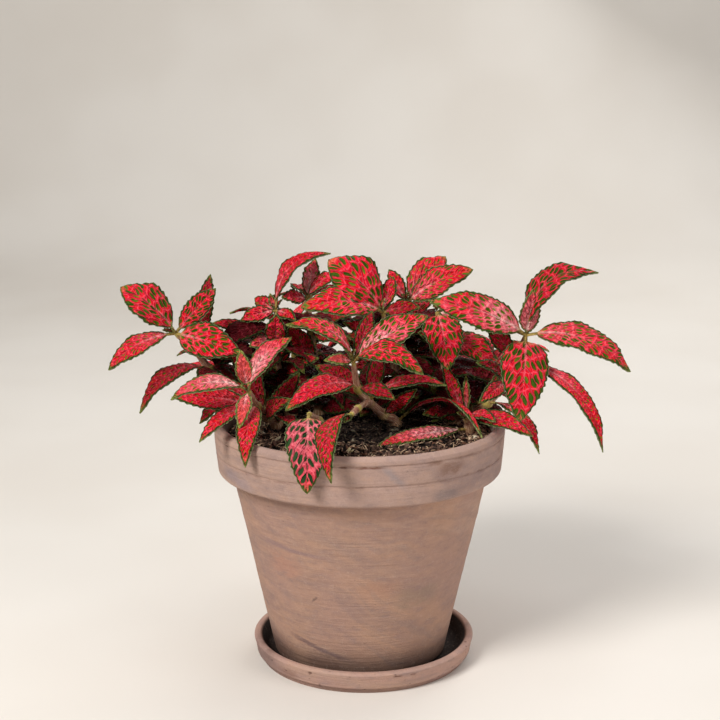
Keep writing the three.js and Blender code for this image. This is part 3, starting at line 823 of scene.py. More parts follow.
def new_group(name: str, inputs: dict[str, float | None]) -> tuple[NodeSheet, list[Wire]]:
    """Starts a shared shader group.

    Args:
        name: the group's name.
        inputs: each input's name, with a number's first value or None for a vector.

    Returns:
        The sheet to place nodes on, and the group's inputs in that order.
    """
    sheet = NodeSheet(bpy.data.node_groups.new(name, "ShaderNodeTree"))
    for label, value in inputs.items():
        kind = "NodeSocketVector" if value is None else "NodeSocketFloat"
        socket = sheet.tree.interface.new_socket(name=label, in_out="INPUT", socket_type=kind)
        if value is not None:
            socket.default_value = value
    given = sheet.add("NodeGroupInput")
    return sheet, [Wire(sheet, given.outputs[label]) for label in inputs]


class Coat(NodeSheet):
    """The node sheet of a material with one plain shader."""

    def __init__(self, name: str) -> None:
        """Starts the material."""
        self.material = bpy.data.materials.new(name)
        self.material.use_nodes = True
        super().__init__(self.material.node_tree)

    def finish(
        self, colour: Value, rough: Value, specular: float, height: Value | None = None, depth: float = 0.0
    ) -> Material:
        """Ends the material with its shader.

        Args:
            colour: the surface's colour.
            rough: how rough it is.
            specular: how strongly it shines face on.
            height: its small relief, from 0 to 1.
            depth: how deep that relief is, in metres.

        Returns:
            The material.
        """
        values = {"Base Color": colour, "Roughness": rough, "Specular IOR Level": specular}
        if height is not None:
            bump = self.add("ShaderNodeBump", by_name={"Distance": depth, "Height": height})
            values["Normal"] = Wire(self, bump.outputs[0])
        shader = self.add("ShaderNodeBsdfPrincipled", by_name=values)
        self.add("ShaderNodeOutputMaterial", Wire(self, shader.outputs[0]))
        return self.material


def build_streak_group() -> None:
    """Marks that throwing on a wheel leaves in clay: fine rings, and broad smears of slip on a slant."""
    sheet, (place, slant) = new_group("clay_streaks", {"Place": None, "Slant": None})
    x, y, z = place.split()
    angle = sheet.math("ARCTAN2", y, x)
    radius = sheet.math("SQRT", x * x + y * y)
    around = sheet.vector(sheet.math("COSINE", angle), sheet.math("SINE", angle), radius)
    rings = (around * (1.4, 1.4, 260.0) + sheet.vector(0.0, 0.0, z * 620.0)).noise(1.0, 4.0, 0.65)
    slant_x, slant_y, _ = slant.split()
    climbing = (place + sheet.vector(0.0, 0.0, x * slant_x + y * slant_y)) * (7.0, 7.0, 62.0)
    climbing = climbing + sheet.vector(0.0, 0.0, place.noise(22.0, 2.0, 0.5) * 2.2)
    cloud = place.noise(26.0, 3.0, 0.55)
    wisp = (climbing * (4.5, 4.5, 3.4)).noise(1.0, 3.0, 0.6) + (cloud - 0.5) * 0.5
    sheet.put_out(Rings=rings, Smear=climbing.noise(1.0, 3.0, 0.55), Wisp=wisp, Cloud=cloud)


def build_grain_group() -> None:
    """The fine grain of bare clay, and small pits scattered in it."""
    sheet, (place, pits) = new_group("clay_grain", {"Place": None, "Pits": 0.1})
    grain = place.noise(1500.0, 3.0, 0.7) * 0.6 + place.noise(420.0, 2.0, 0.5) * 0.4
    distance, chance = (place * (1.0, 1.0, 2.2)).cells(430.0, 1.0, voronoi_dimensions="3D", feature="F1")
    reach = (chance.split()[0] - (1.0 - pits)) * 3.0
    sheet.put_out(Grain=grain, Pit=distance.step(0.0, reach.most(0.0001), 1.0, 0.0))


def build_net_group() -> None:
    """The net of veins in a leaf, with long islands between them, in millimetres along and across it."""
    inputs = {"Along": 0.0, "Across": 0.0, "Seed": 0.0, "Size": 1.0}
    sheet, (along, signed, seed, size) = new_group("leaf_net", inputs)
    across = abs(signed)
    seed = seed * 211.0 + sheet.math("SIGN", signed) * 37.0
    bend = (sheet.vector(along, across, seed).noise(0.22, 1.0, 0.5) - 0.5) * 2.4
    turn = math.radians(21)
    long_way = along * math.cos(turn) + across * math.sin(turn)
    short_way = across * math.cos(turn) - along * math.sin(turn) + bend
    grid = sheet.vector(long_way / (size * 5.5), short_way / (size * 2.0), seed)
    grid = grid + sheet.vector(seed, seed * 0.37, 0.0)
    edge = grid.cells(1.0, 0.55, voronoi_dimensions="2D", feature="DISTANCE_TO_EDGE")[0]
    middle, tint = grid.cells(1.0, 0.55, voronoi_dimensions="2D", feature="F1")
    phase = (along - (across + across * across * 0.05) * 1.25) / (size * 5.2) + seed
    side_vein = abs(sheet.math("FRACT", phase) - 0.5).step(0.0, 0.13, 1.0, 0.0)
    sheet.put_out(Distance=edge, Reach=middle, Shade=tint.split()[0], Side=side_vein)


@dataclass(frozen=True)
class ClayMark:
    """One smear of slip or dirt on turned clay, or a patch of painted shade, along a slanted line round the
    axis.

    Args:
        angle: where its middle lies round the axis, in degrees, with -90 at the front.
        height: the height of its middle, in metres.
        slope: how far it climbs for each degree round the axis, in metres.
        reach: half its length, in degrees.
        thickness: half its height, in metres.
        colour: its colour.
        strength: how much of the clay it hides, from 0 to 1.
    """

    angle: float
    height: float
    slope: float
    reach: float
    thickness: float
    colour: Tint
    strength: float

    def mask(self, angle: Wire, height: Wire, ragged: Wire) -> Wire:
        """Says where the mark shows.

        Args:
            angle: the angle round the axis, in degrees.
            height: the height, in metres.
            ragged: a noise near 0.5 that roughens the mark's edge.

        Returns:
            The mark's strength at each place.
        """
        turn = angle - self.angle
        away = abs(height - (turn * self.slope + self.height)) + (ragged - 0.5) * (self.thickness * 3.0)
        body = away.step(self.thickness, self.thickness * 0.1)
        return body * abs(turn).step(self.reach, self.reach * 0.3) * self.strength


@dataclass(frozen=True)
class ClayFinish:
    """Bare fired clay with smears of slip.

    Args:
        name: the material's name.
        ground: its main colour.
        warm: the redder colour of its clouds.
        smoke: the grey blue colour of its smears.
        foot: the darker colour near its foot, partly the clay's own and partly painted shade low down.
        foot_height: up to where that darker colour reaches, in metres.
        smears: how strongly the smears show, from 0 to 1.
        pits: how many pits it has, from 0 to 1.
        slant: how far the smears climb towards +X and +Y.
        marks: single smears, brown flecks and patches of painted shade, as rows of a mark's values.
        lines: heights of the turned grooves, in metres, with broken flecks of dirt and a thin dark line of
            painted shade along each.
        band: height where a lighter band starts, in metres.
        painted_shade_radius: how far from its middle the inside is painted near black as shade, in metres.
        painted_shade_centre: where that middle lies along X, in metres.
    """

    name: str
    ground: Tint
    warm: Tint
    smoke: Tint
    foot: Tint
    foot_height: float
    smears: float
    pits: float
    slant: Point
    marks: tuple[tuple[Any, ...], ...]
    lines: tuple[float, ...] = ()
    band: float = 1.0
    painted_shade_radius: float = 0.0
    painted_shade_centre: float = 0.0

    def make(self) -> Material:
        """Makes the clay material."""
        sheet = Coat(self.name)
        place = sheet.place()
        x, y, z = place.split()
        rings, smear, wisp, cloud = sheet.group("clay_streaks", place, self.slant)
        grain, pit = sheet.group("clay_grain", place, self.pits)
        blotch = (place * (130.0, 130.0, 300.0)).noise(1.0, 5.0, 0.7)
        low = z + cloud * (self.foot_height * 0.7)
        colour = sheet.layers(
            sheet.mix(cloud.step(0.36, 0.66), self.ground, self.warm),
            (z.step(self.band - 0.001, self.band + 0.001) * 0.55, (172, 147, 137)),
            (smear.step(0.46, 0.72) * self.smears, self.smoke),
            (smear.step(0.44, 0.3) * 0.35, (184, 154, 134)),
            (rings.step(0.5, 0.78, 0.0, 0.18), (124, 98, 84)),
            (rings.step(0.46, 0.25, 0.0, 0.2), (190, 162, 142)),
            (blotch.step(0.5, 0.7, 0.0, 0.42), self.smoke),
            (blotch.step(0.5, 0.3, 0.0, 0.34), (188, 150, 126)),
            (wisp.step(0.54, 0.7, 0.0, 0.45) * self.smears, (126, 112, 110)),
            # Darker towards the foot: partly the clay's own colour, partly painted shade low down by the
            # saucer or floor.
            (low.step(self.foot_height * 1.35, self.foot_height * 0.4, 0.0, 0.9), self.foot),
        )
        broken = (place * (150.0, 150.0, 420.0)).noise(1.0, 3.0, 0.6).step(0.5, 0.68)
        for height in self.lines:
            near = abs(z - height)
            colour = sheet.layers(
                colour,
                # Broken flecks of dirt along the groove.
                (near.step(0.0018, 0.0) * broken * 0.45, (108, 78, 62)),
                # A thin dark line of painted shade in the groove.
                (near.step(0.0009, 0.0002, 0.0, 0.2), (122, 92, 78)),
            )
        angle = sheet.math("ARCTAN2", y, x) * (180 / math.pi)
        marks = [ClayMark(*row) for row in self.marks]
        colour = sheet.layers(colour, *((mark.mask(angle, z, blotch), mark.colour) for mark in marks))
        # Painted shade: the saucer's floor and inner wall are darkened to near black, as the pot shades
        # them.
        if self.painted_shade_radius:
            away = sheet.math("DISTANCE", place * (1.0, 1.0, 0.0), (self.painted_shade_centre, 0.0, 0.0))
            painted_shade = away.step(self.painted_shade_radius + 0.0006, self.painted_shade_radius - 0.0006) * z.step(0.0022, 0.0034)
            colour = sheet.mix(painted_shade * 0.96, colour, (24, 14, 11))
        speckle = grain - 0.5
        colour = sheet.layers(
            colour,
            (speckle.step(0.02, 0.16, 0.0, 0.12), (214, 192, 178)),
            (speckle.step(-0.02, -0.16, 0.0, 0.16), (118, 92, 80)),
            (pit * 0.75, (84, 58, 48)),
        )
        relief = grain * 0.45 + rings * 0.8 - pit * 0.7
        return sheet.finish(colour, cloud.step(0.3, 0.7, 0.8, 0.92), 0.25, relief, 0.0005)


@dataclass(frozen=True)
class LeafFinish:
    """The upper side of the leaves: a red net of veins over green islands, in a dark toothed margin.

    Args:
        red: colour of the net.
        vein: colour of the finest lines in the net.
        blush: the pale pink of leaves towards their stalk.
        dark_island: colour of the largest islands.
        light_island: colour of the smallest islands.
        margin: colour of the edge.
        edge: colour of the very rim, partly the margin's own pale colour and partly a painted highlight
            where light catches its hairs.
        stalk: colour of the leaf's stalk.
    """

    red: Tint = (226, 6, 28)
    vein: Tint = (252, 114, 132)
    blush: Tint = (240, 112, 138)
    dark_island: Tint = (54, 86, 10)
    light_island: Tint = (114, 128, 26)
    margin: Tint = (36, 62, 22)
    edge: Tint = (162, 164, 122)
    stalk: Tint = (172, 148, 84)

    def make(self) -> Material:
        """Makes the material of the leaves' upper side."""
        sheet = Coat("leaf_upper")
        along, across, rim = sheet.attribute("leaf_place")
        island, pale, deep = sheet.attribute("leaf_mood")
        young, seed, share = sheet.attribute("leaf_trait")
        size, _, rose = sheet.attribute("leaf_size")
        distance, middle, shade, side_vein = sheet.group("leaf_net", along, across, seed, size)
        fine = sheet.group("leaf_net", along, across, seed + 3.3, size * 0.72)[0]
        place = sheet.vector(along, across, seed * 90.0)
        cloud = place.noise(0.13, 2.0, 0.5)
        mottle = place.noise(0.9, 3.0, 0.6)
        reach = abs(across)
        outer = reach / (reach + rim).most(0.1)
        base = share.step(0.12, pale.step(0.7, 1.0, 0.62, 0.92), 1.0, 0.0)
        blush = pale * base * outer.step(0.15, 1.0, 1.0, 0.35)
        blush = sheet.math("ADD", blush, cloud.step(0.45, 0.7) * (pale * 0.35), use_clamp=True)
        pink = sheet.mix(mottle.step(0.4, 0.75), self.blush, (248, 192, 194))
        white = share.step(0.62, 0.14) * pale.step(0.7, 1.0) * 0.5
        red = sheet.layers(
            self.red,
            (cloud.step(0.35, 0.65, 0.0, 0.7), (246, 22, 60)),
            (mottle.step(0.5, 0.28, 0.0, 0.7), (144, 0, 14)),
            # Deep darkens the net towards near black: partly the leaf's own dark crimson, partly painted
            # shade.
            (deep * 0.94, (38, 0, 4)),
            (blush * pale * 0.8, sheet.mix(white, pink, (255, 196, 188))),
            (young * 0.5, (206, 112, 92)),
            (
                rose * share.step(1.0, 0.6, 0.25, 0.85),
                sheet.mix(mottle.step(0.35, 0.65), (178, 64, 78), (212, 112, 120)),
            ),
        )
        thread = fine.step(0.1, 0.02) * mottle.step(0.36, 0.6, 0.35, 1.0)
        core = distance.step(0.08, 0.0, 0.0, 0.42).most(side_vein * 0.36)
        core = core.most(thread * (0.05 + base * pale * 1.1))
        # Veins of deep leaves darken too: partly their own colour, partly painted shade.
        vein = sheet.mix(deep * 0.85, self.vein, (96, 8, 18))
        grown = island + 0.05 - blush * 0.3 + (cloud - 0.5) * 0.6
        grown = grown + (shade - 0.5) * 0.4 + (outer - 0.5) * 0.25
        inside = (grown.step(0.0, 1.0, 0.08, 0.39) - middle).step(-0.02, 0.07) * distance.step(0.03, 0.1)
        green = sheet.layers(
            sheet.mix(grown.step(0.35, 0.95), self.light_island, self.dark_island),
            # Islands of deep leaves darken too: partly their own colour, partly painted shade.
            (deep * 0.9, (24, 20, 12)),
            (young * 0.6, (150, 160, 72)),
            (rose * 0.8, (34, 62, 40)),
        )
        margin = sheet.layers(
            self.margin,
            (young * 0.8, (128, 140, 66)),
            # The margin of deep leaves darkens too: partly its own colour, partly painted shade.
            (deep * 0.9, (22, 24, 12)),
            (mottle.step(0.4, 0.7, 0.0, 0.4), (84, 104, 42)),
        )
        rib = (reach - share.step(0.0, 0.9, 0.42, 0.0)).step(0.0, 0.3, 1.0, 0.0)
        rib = rib * share.step(0.4, 0.95, 1.0, 0.25)
        colour = sheet.layers(
            red,
            (core, sheet.mix(blush, vein, (248, 186, 180))),
            (inside * grown.step(0.04, 0.22), green),
            (rib * blush.step(0.0, 0.6, 0.36, 0.75), sheet.mix(blush, vein, (250, 206, 196))),
            ((rim - (mottle - 0.42) * 1.5).step(1.0, 0.55), margin),
            # Pale rim: partly the margin's own colour, partly a painted highlight, left off deep leaves.
            (rim.step(0.4, 0.1, 0.0, 0.5) * (1.0 - deep), self.edge),
            (share.step(0.86, 0.99) * (young * 0.6 + 0.35), (146, 154, 72)),
            (share.step(0.085, -0.03), self.stalk),
        )
        relief = distance.step(0.0, 0.4) * 0.7 + mottle * 0.3 - side_vein * 0.5
        return sheet.finish(colour, mottle.step(0.3, 0.7, 0.42, 0.58), 0.06, relief, 0.0013)


@dataclass(frozen=True)
class UndersideFinish:
    """The under side of the leaves: dull mauve red with raised veins and a dark edge."""

    ground: Tint = (126, 34, 38)
    vein: Tint = (186, 84, 82)
    margin: Tint = (56, 68, 34)

    def make(self) -> Material:
        """Makes the material of the leaves' under side."""
        sheet = Coat("leaf_under")
        along, across, rim = sheet.attribute("leaf_place")
        young, seed, share = sheet.attribute("leaf_trait")
        size, _, _ = sheet.attribute("leaf_size")
        distance, _, _, side_vein = sheet.group("leaf_net", along, across, seed, size)
        mottle = sheet.vector(along, across, seed * 70.0).noise(0.7, 3.0, 0.6)
        veins = side_vein.most(distance.step(0.07, 0.0))
        colour = sheet.layers(
            sheet.mix(mottle.step(0.35, 0.7), self.ground, (142, 60, 58)),
            (distance.step(0.2, 0.42, 0.0, 0.35), (96, 84, 52)),
            (veins * 0.6, self.vein),
            (abs(across).step(0.75, 0.35) * 0.8, (198, 122, 116)),
            ((rim - mottle).step(0.4, 0.0) * 0.8, sheet.mix(young, self.margin, (140, 150, 80))),
            (share.step(0.05, -0.02), (160, 128, 82)),
        )
        relief = veins * 0.6 + mottle * 0.4
        return sheet.finish(colour, mottle.step(0.3, 0.7, 0.56, 0.7), 0.35, relief, 0.0004)


@dataclass(frozen=True)
class StemFinish:
    """The stems: mauve brown with pale lines, and yellow green where leaves grow from them."""

    bark: Tint = (156, 100, 76)
    line: Tint = (212, 180, 150)
    joint: Tint = (188, 176, 84)

    def make(self) -> Material:
        """Makes the stem material."""
        sheet = Coat("plant_stem")
        near, around, along = sheet.attribute("stem_place")
        streak = sheet.vector(around * 7.0, along * 0.22, 0.0).noise(1.0, 3.0, 0.6)
        place = sheet.place()
        mottle = place.noise(420.0, 3.0, 0.6)
        high = place.split()[2].step(0.119, 0.131, 0.12, 0.85)
        colour = sheet.layers(
            sheet.mix(streak.step(0.42, 0.66), self.bark, self.line),
            (mottle.step(0.45, 0.75, 0.0, 0.5), (112, 76, 62)),
            ((near + mottle * 2.2).step(4.6, 1.6) * high, self.joint),
        )
        relief = streak * 0.6 + mottle * 0.4
        return sheet.finish(colour, mottle.step(0.3, 0.7, 0.5, 0.7), 0.35, relief, 0.0004)


@dataclass(frozen=True)
class CrumbFinish:
    """Loose stuff of the soil, each kind with two colours that its grains vary between, fine painted glints,
    and painted shade towards the middle.
    """

    name: str
    first: Tint
    second: Tint
    depth: float
    scale: float = 240.0
    gleam: float = 2.4

    def make(self) -> Material:
        """Makes the material of one kind of soil stuff."""
        sheet = Coat(self.name)
        place = sheet.place()
        patch = place.noise(self.scale, 2.0, 0.6)
        fine = place.noise(self.scale * 5, 3.0, 0.7)
        # Painted glints: fine flecks of the second colour, brightened by the gleam.
        bright = sheet.add("ShaderNodeRGB").outputs[0]
        bright.default_value = [min(1.0, part * self.gleam) for part in shader_colour(self.second)]
        reach = sheet.math("LENGTH", place * (1.0, 1.0, 0.0))
        colour = sheet.layers(
            sheet.mix(patch.step(0.38, 0.64), self.first, self.second),
            (fine.step(0.6, 0.8, 0.0, 0.5), Wire(sheet, bright)),
            # Painted shade: near black towards the middle of the pot, where the leaves shade the soil.
            ((reach + patch * 0.014).step(0.052, 0.036, 0.0, 0.86), (14, 9, 8)),
        )
        return sheet.finish(colour, 0.9, 0.2, patch * 0.5 + fine * 0.5, self.depth)


def turned_body(name: str, profile: Section, sides: int, closed: bool) -> Piece:
    """Turns a body from its section: a ring is added at the first point and extruded from point to point.

    Args:
        name: the piece's name.
        profile: radius and height of each corner of the section, in millimetres.
        sides: how many points each ring has.
        closed: True where the last ring joins the first, False where both ends are filled.

    Returns:
        The piece, with its faces outwards.
    """
    deselect()
    radius, height = (size * MM for size in profile[0])
    fill = "NOTHING" if closed else "NGON"
    bpy.ops.mesh.primitive_circle_add(vertices=sides, radius=radius, fill_type=fill, location=(0, 0, height))
    piece = named(name)
    edit()
    for (radius_before, height_before), (radius_after, height_after) in zip(profile, profile[1:]):
        if closed:
            bpy.ops.mesh.extrude_edges_move()
        else:
            bpy.ops.mesh.extrude_region_move()
        bpy.ops.transform.translate(value=(0, 0, (height_after - height_before) * MM))
        share = radius_after / radius_before
        bpy.ops.transform.resize(value=(share, share, 1), center_override=(0, 0, height_after * MM))
    if closed:
        bpy.ops.object.mode_set(mode="OBJECT")
        last_ring = (len(profile) - 1) * sides
        for edge in piece.data.edges:
            first, second = sorted(edge.vertices)
            edge.select = second < sides or first >= last_ring
        bpy.ops.object.mode_set(mode="EDIT")
        bpy.ops.mesh.select_mode(type="EDGE")
        bpy.ops.mesh.bridge_edge_loops()
    bpy.ops.mesh.select_all(action="SELECT")
    bpy.ops.mesh.remove_doubles(threshold=WELD)
    bpy.ops.mesh.normals_make_consistent(inside=False)
    bpy.ops.object.mode_set(mode="OBJECT")
    settle(piece)
    return piece


def dense_profile(profile: Section, step: float) -> list[tuple[float, float]]:
    """Adds points to the long stretches of a section, so that the turned body can carry small dents."""
    points = [profile[0]]
    for (r0, z0), (r1, z1) in zip(profile, profile[1:]):
        parts = max(1, round(math.hypot(r1 - r0, z1 - z0) / step))
        for k in range(1, parts + 1):
            points.append((r0 + (r1 - r0) * k / parts, z0 + (z1 - z0) * k / parts))
    return points


def round_edges(piece: Piece) -> None:
    """Rounds the sharp edges of a clay body."""
    sharp = math.radians(ROUNDED_FROM)
    apply_modifier(piece, "BEVEL", width=ROUNDING, segments=3, limit_method="ANGLE", angle_limit=sharp)


def hand_thrown(piece: Piece, depth: float, seed: float) -> None:
    """Gives a turned body the slight unevenness of thrown clay.

    Args:
        piece: the turned body.
        depth: how far its wall may move in or out, in metres.
        seed: where in the pattern this piece starts.
    """
    points = vertex_array(piece.data)
    for index, (x, y, z) in enumerate(points):
        radius = math.hypot(x, y)
        if radius >= 0.008:
            broad = noise.noise(Vector((x * 16 + seed, y * 16, z * 22)))
            ring = noise.noise(Vector((seed, x * 4 / radius, z * 420 + y / radius)))
            move = 1 + depth * (0.75 * broad + 0.4 * ring) / radius
            points[index] = (x * move, y * move, z)
    set_vertex_array(piece.data, points)


def dress_clay(piece: Piece, finish: ClayFinish, node: str) -> None:
    """Gives a clay body its finish and its place in the frame."""
    piece.data.materials.append(finish.make())
    smooth(piece, CLAY_CREASE)
    belong(piece, node)


@dataclass
class ClayPot:
    """The tapered clay pot with its banded rim, two turned grooves and a drain hole."""

    rim_radius: float = 70.0
    top: float = 120.0
    band_bottom: float = 96.5
    band_bottom_radius: float = 68.4
    body_top_radius: float = 62.0
    foot_radius: float = 42.0
    mouth_radius: float = 65.5
    wall: float = WALL
    groove_depth: float = 0.45
    groove_half_height: float = 0.55
    grooves: tuple[float, float] = (106.5, 116.0)
    drain_radius: float = 7.0
    sides: int = 192

    def outer_radius(self, height: float) -> float:
        """The outside radius of the tapered body at a height."""
        share = (height - SAUCER_FLOOR) / (self.band_bottom - SAUCER_FLOOR)
        return self.foot_radius + (self.body_top_radius - self.foot_radius) * share

    def inner_radius(self, height: float) -> float:
        """The inside radius at a height."""
        floor = SAUCER_FLOOR + self.wall
        inner_foot = self.foot_radius - self.wall
        return inner_foot + (self.mouth_radius - inner_foot) * (height - floor) / (self.top - floor)

    def band_radius(self, height: float) -> float:
        """The outside radius of the rim band at a height."""
        share = (height - self.band_bottom) / (self.grooves[1] - self.band_bottom)
        return self.band_bottom_radius + (self.rim_radius - self.band_bottom_radius) * share

    def section(self) -> list[tuple[float, float]]:
        """The pot's section, from its drain hole outside, over the lip and down inside."""
        base = SAUCER_FLOOR
        floor = base + self.wall
        half = self.groove_half_height
        points = [
            (self.drain_radius, base),
            (self.foot_radius - 1, base),
            (self.foot_radius, base + 1),
            (self.outer_radius(self.band_bottom - 1.0), self.band_bottom - 1.0),
            (self.body_top_radius + 1, self.band_bottom),
            (self.band_bottom_radius - 1, self.band_bottom),
            (self.band_bottom_radius - 0.1, self.band_bottom + 1),
        ]
        for height in self.grooves:
            points += [
                (self.band_radius(height - half), height - half),
                (self.band_radius(height) - self.groove_depth, height),
                (self.band_radius(height + half), height + half),
            ]
        return points + [
            (self.rim_radius - 0.05, self.top - 1.6),
            (self.rim_radius - 1.6, self.top),
            (self.mouth_radius + 1.2, self.top),
            (self.inner_radius(self.top - 1), self.top - 1),
            (self.inner_radius(floor), floor),
            (self.drain_radius, floor),
        ]

    def build(self) -> None:
        """Turns the pot, rounds its edges and dresses it in clay."""
        piece = turned_body("clay_pot", dense_profile(self.section(), 3.0), self.sides, True)
        round_edges(piece)
        hand_thrown(piece, 0.0005, 3.1)
        self.dress(piece)

    def dress(self, piece: Piece) -> None:
        """Gives the pot its smoked clay."""
        finish = ClayFinish(
            name="pot_clay",
            ground=(163, 130, 116),
            warm=(172, 136, 115),
            smoke=(130, 110, 108),
            # The dark foot is partly painted shade, where the saucer shades the pot.
            foot=(74, 50, 40),
            foot_height=0.026,
            smears=0.5,
            pits=0.08,
            slant=(0.42, 0.1, 0.0),
            lines=(self.grooves[0] * MM, self.grooves[1] * MM),
            band=(self.band_bottom + 0.4) * MM,
            marks=(
                (-130, 0.061, 0.0, 14, 0.009, (172, 126, 108), 0.5),
                (-80, 0.053, 0.0, 15, 0.006, (166, 124, 104), 0.4),
                (-58, 0.047, 0.0, 18, 0.008, (136, 118, 104), 0.5),
                (-125, 0.070, -0.0001, 26, 0.0022, (116, 98, 108), 0.5),
                (-116, 0.0195, -0.00024, 26, 0.0018, (84, 68, 78), 0.6),
                (-114.3, 0.046, 0.0006, 2.4, 0.0012, (92, 74, 70), 0.7),
                (-146, 0.101, -0.0002, 14, 0.0045, (136, 124, 132), 0.5),
                (-78, 0.1115, -0.00096, 6, 0.0034, (132, 126, 130), 0.5),
                (-56, 0.0995, 0.0, 8, 0.0034, (112, 104, 106), 0.5),
                (-54, 0.112, 0.0001, 8, 0.0044, (110, 76, 60), 0.6),
                (-62, 0.1155, 0.0, 4, 0.002, (118, 84, 68), 0.5),
                (-86, 0.1155, 0.0, 7, 0.0008, (92, 54, 40), 0.8),
                (-96, 0.1157, 0.0, 2, 0.0007, (92, 54, 40), 0.8),
            ),
        )
        dress_clay(piece, finish, "pot")


@dataclass
class Saucer:
    """The round clay saucer, set a little to the side as in the photograph."""

    floor: float = SAUCER_FLOOR
    lip: float = 12.6
    outer_radius: float = 54.3
    inner_radius: float = 50.0
    foot_radius: float = 50.5
    step: float = 4.0
    offset_x: float = 1.8
    sides: int = 192

    def section(self) -> list[tuple[float, float]]:
        """The saucer's section, from the middle of its foot, over the lip to the middle of its floor."""
        return [
            (AXIS_GAP, 0.0),
            (self.foot_radius - 1.2, 0.0),
            (self.foot_radius, 1.2),
            (self.foot_radius + 0.5, self.step),
            (self.outer_radius - 1.6, self.step + 0.6),
            (self.outer_radius - 0.6, self.lip - 2.2),
            (self.outer_radius, self.lip - 1.0),
            (self.outer_radius - 1.2, self.lip),
            (self.inner_radius + 1.2, self.lip),
            (self.inner_radius, self.lip - 1.2),
            (self.inner_radius - 3, self.floor + 1),
            (self.inner_radius - 5, self.floor),
            (AXIS_GAP, self.floor),
        ]

    def build(self) -> None:
        """Turns the saucer, rounds its edges and dresses it in clay."""
        piece = turned_body("clay_saucer", dense_profile(self.section(), 4.0), self.sides, False)
        round_edges(piece)
        points = vertex_array(piece.data)
        points[:, 0] += self.offset_x * MM
        set_vertex_array(piece.data, points)
        self.dress(piece)

    def dress(self, piece: Piece) -> None:
        """Gives the saucer its pinker clay with brown flecks, and painted shade inside it and on its left
        side.
        """
        finish = ClayFinish(
            name="saucer_clay",
            ground=(174, 141, 130),
            warm=(184, 148, 132),
            smoke=(146, 124, 122),
            foot=(104, 80, 68),
            foot_height=0.0045,
            smears=0.6,
            pits=0.16,
            slant=(0.1, 0.05, 0.0),
            marks=(
                # The first mark is painted shade: the saucer's left side darkened where the pot shades it.
                (-155, 0.008, 0.0, 24, 0.009, (94, 76, 76), 0.5),
                (-132, 0.0065, 0.0, 12, 0.003, (112, 84, 76), 0.5),
                (-71, 0.0104, 0.0, 3.2, 0.0009, (80, 44, 32), 0.85),
                (-63, 0.0102, 0.0, 2.2, 0.0008, (88, 50, 38), 0.7),
                (-116, 0.0104, 0.0, 1.6, 0.0008, (80, 50, 40), 0.8),
            ),
            # The inside of the saucer is painted near black as shade.
            painted_shade_radius=0.0505,
            painted_shade_centre=self.offset_x * MM,
        )
        dress_clay(piece, finish, "saucer")


@dataclass(frozen=True)
class Strewn:
    """One kind of loose stuff on the soil.

    Args:
        name: the joined piece's name.
        master: the small shape, one unit in size and round its own middle.
        count: how many copies there are.
        smallest: the smallest size along x, y and z, in millimetres.
        largest: the largest size.
        tilt: how far a copy may lean, in degrees.
        sink: how deep a copy's middle lies in the soil, as a share of its height.
    """

    name: str
    master: Piece
    count: int
    smallest: Point
    largest: Point
    tilt: float
    sink: float


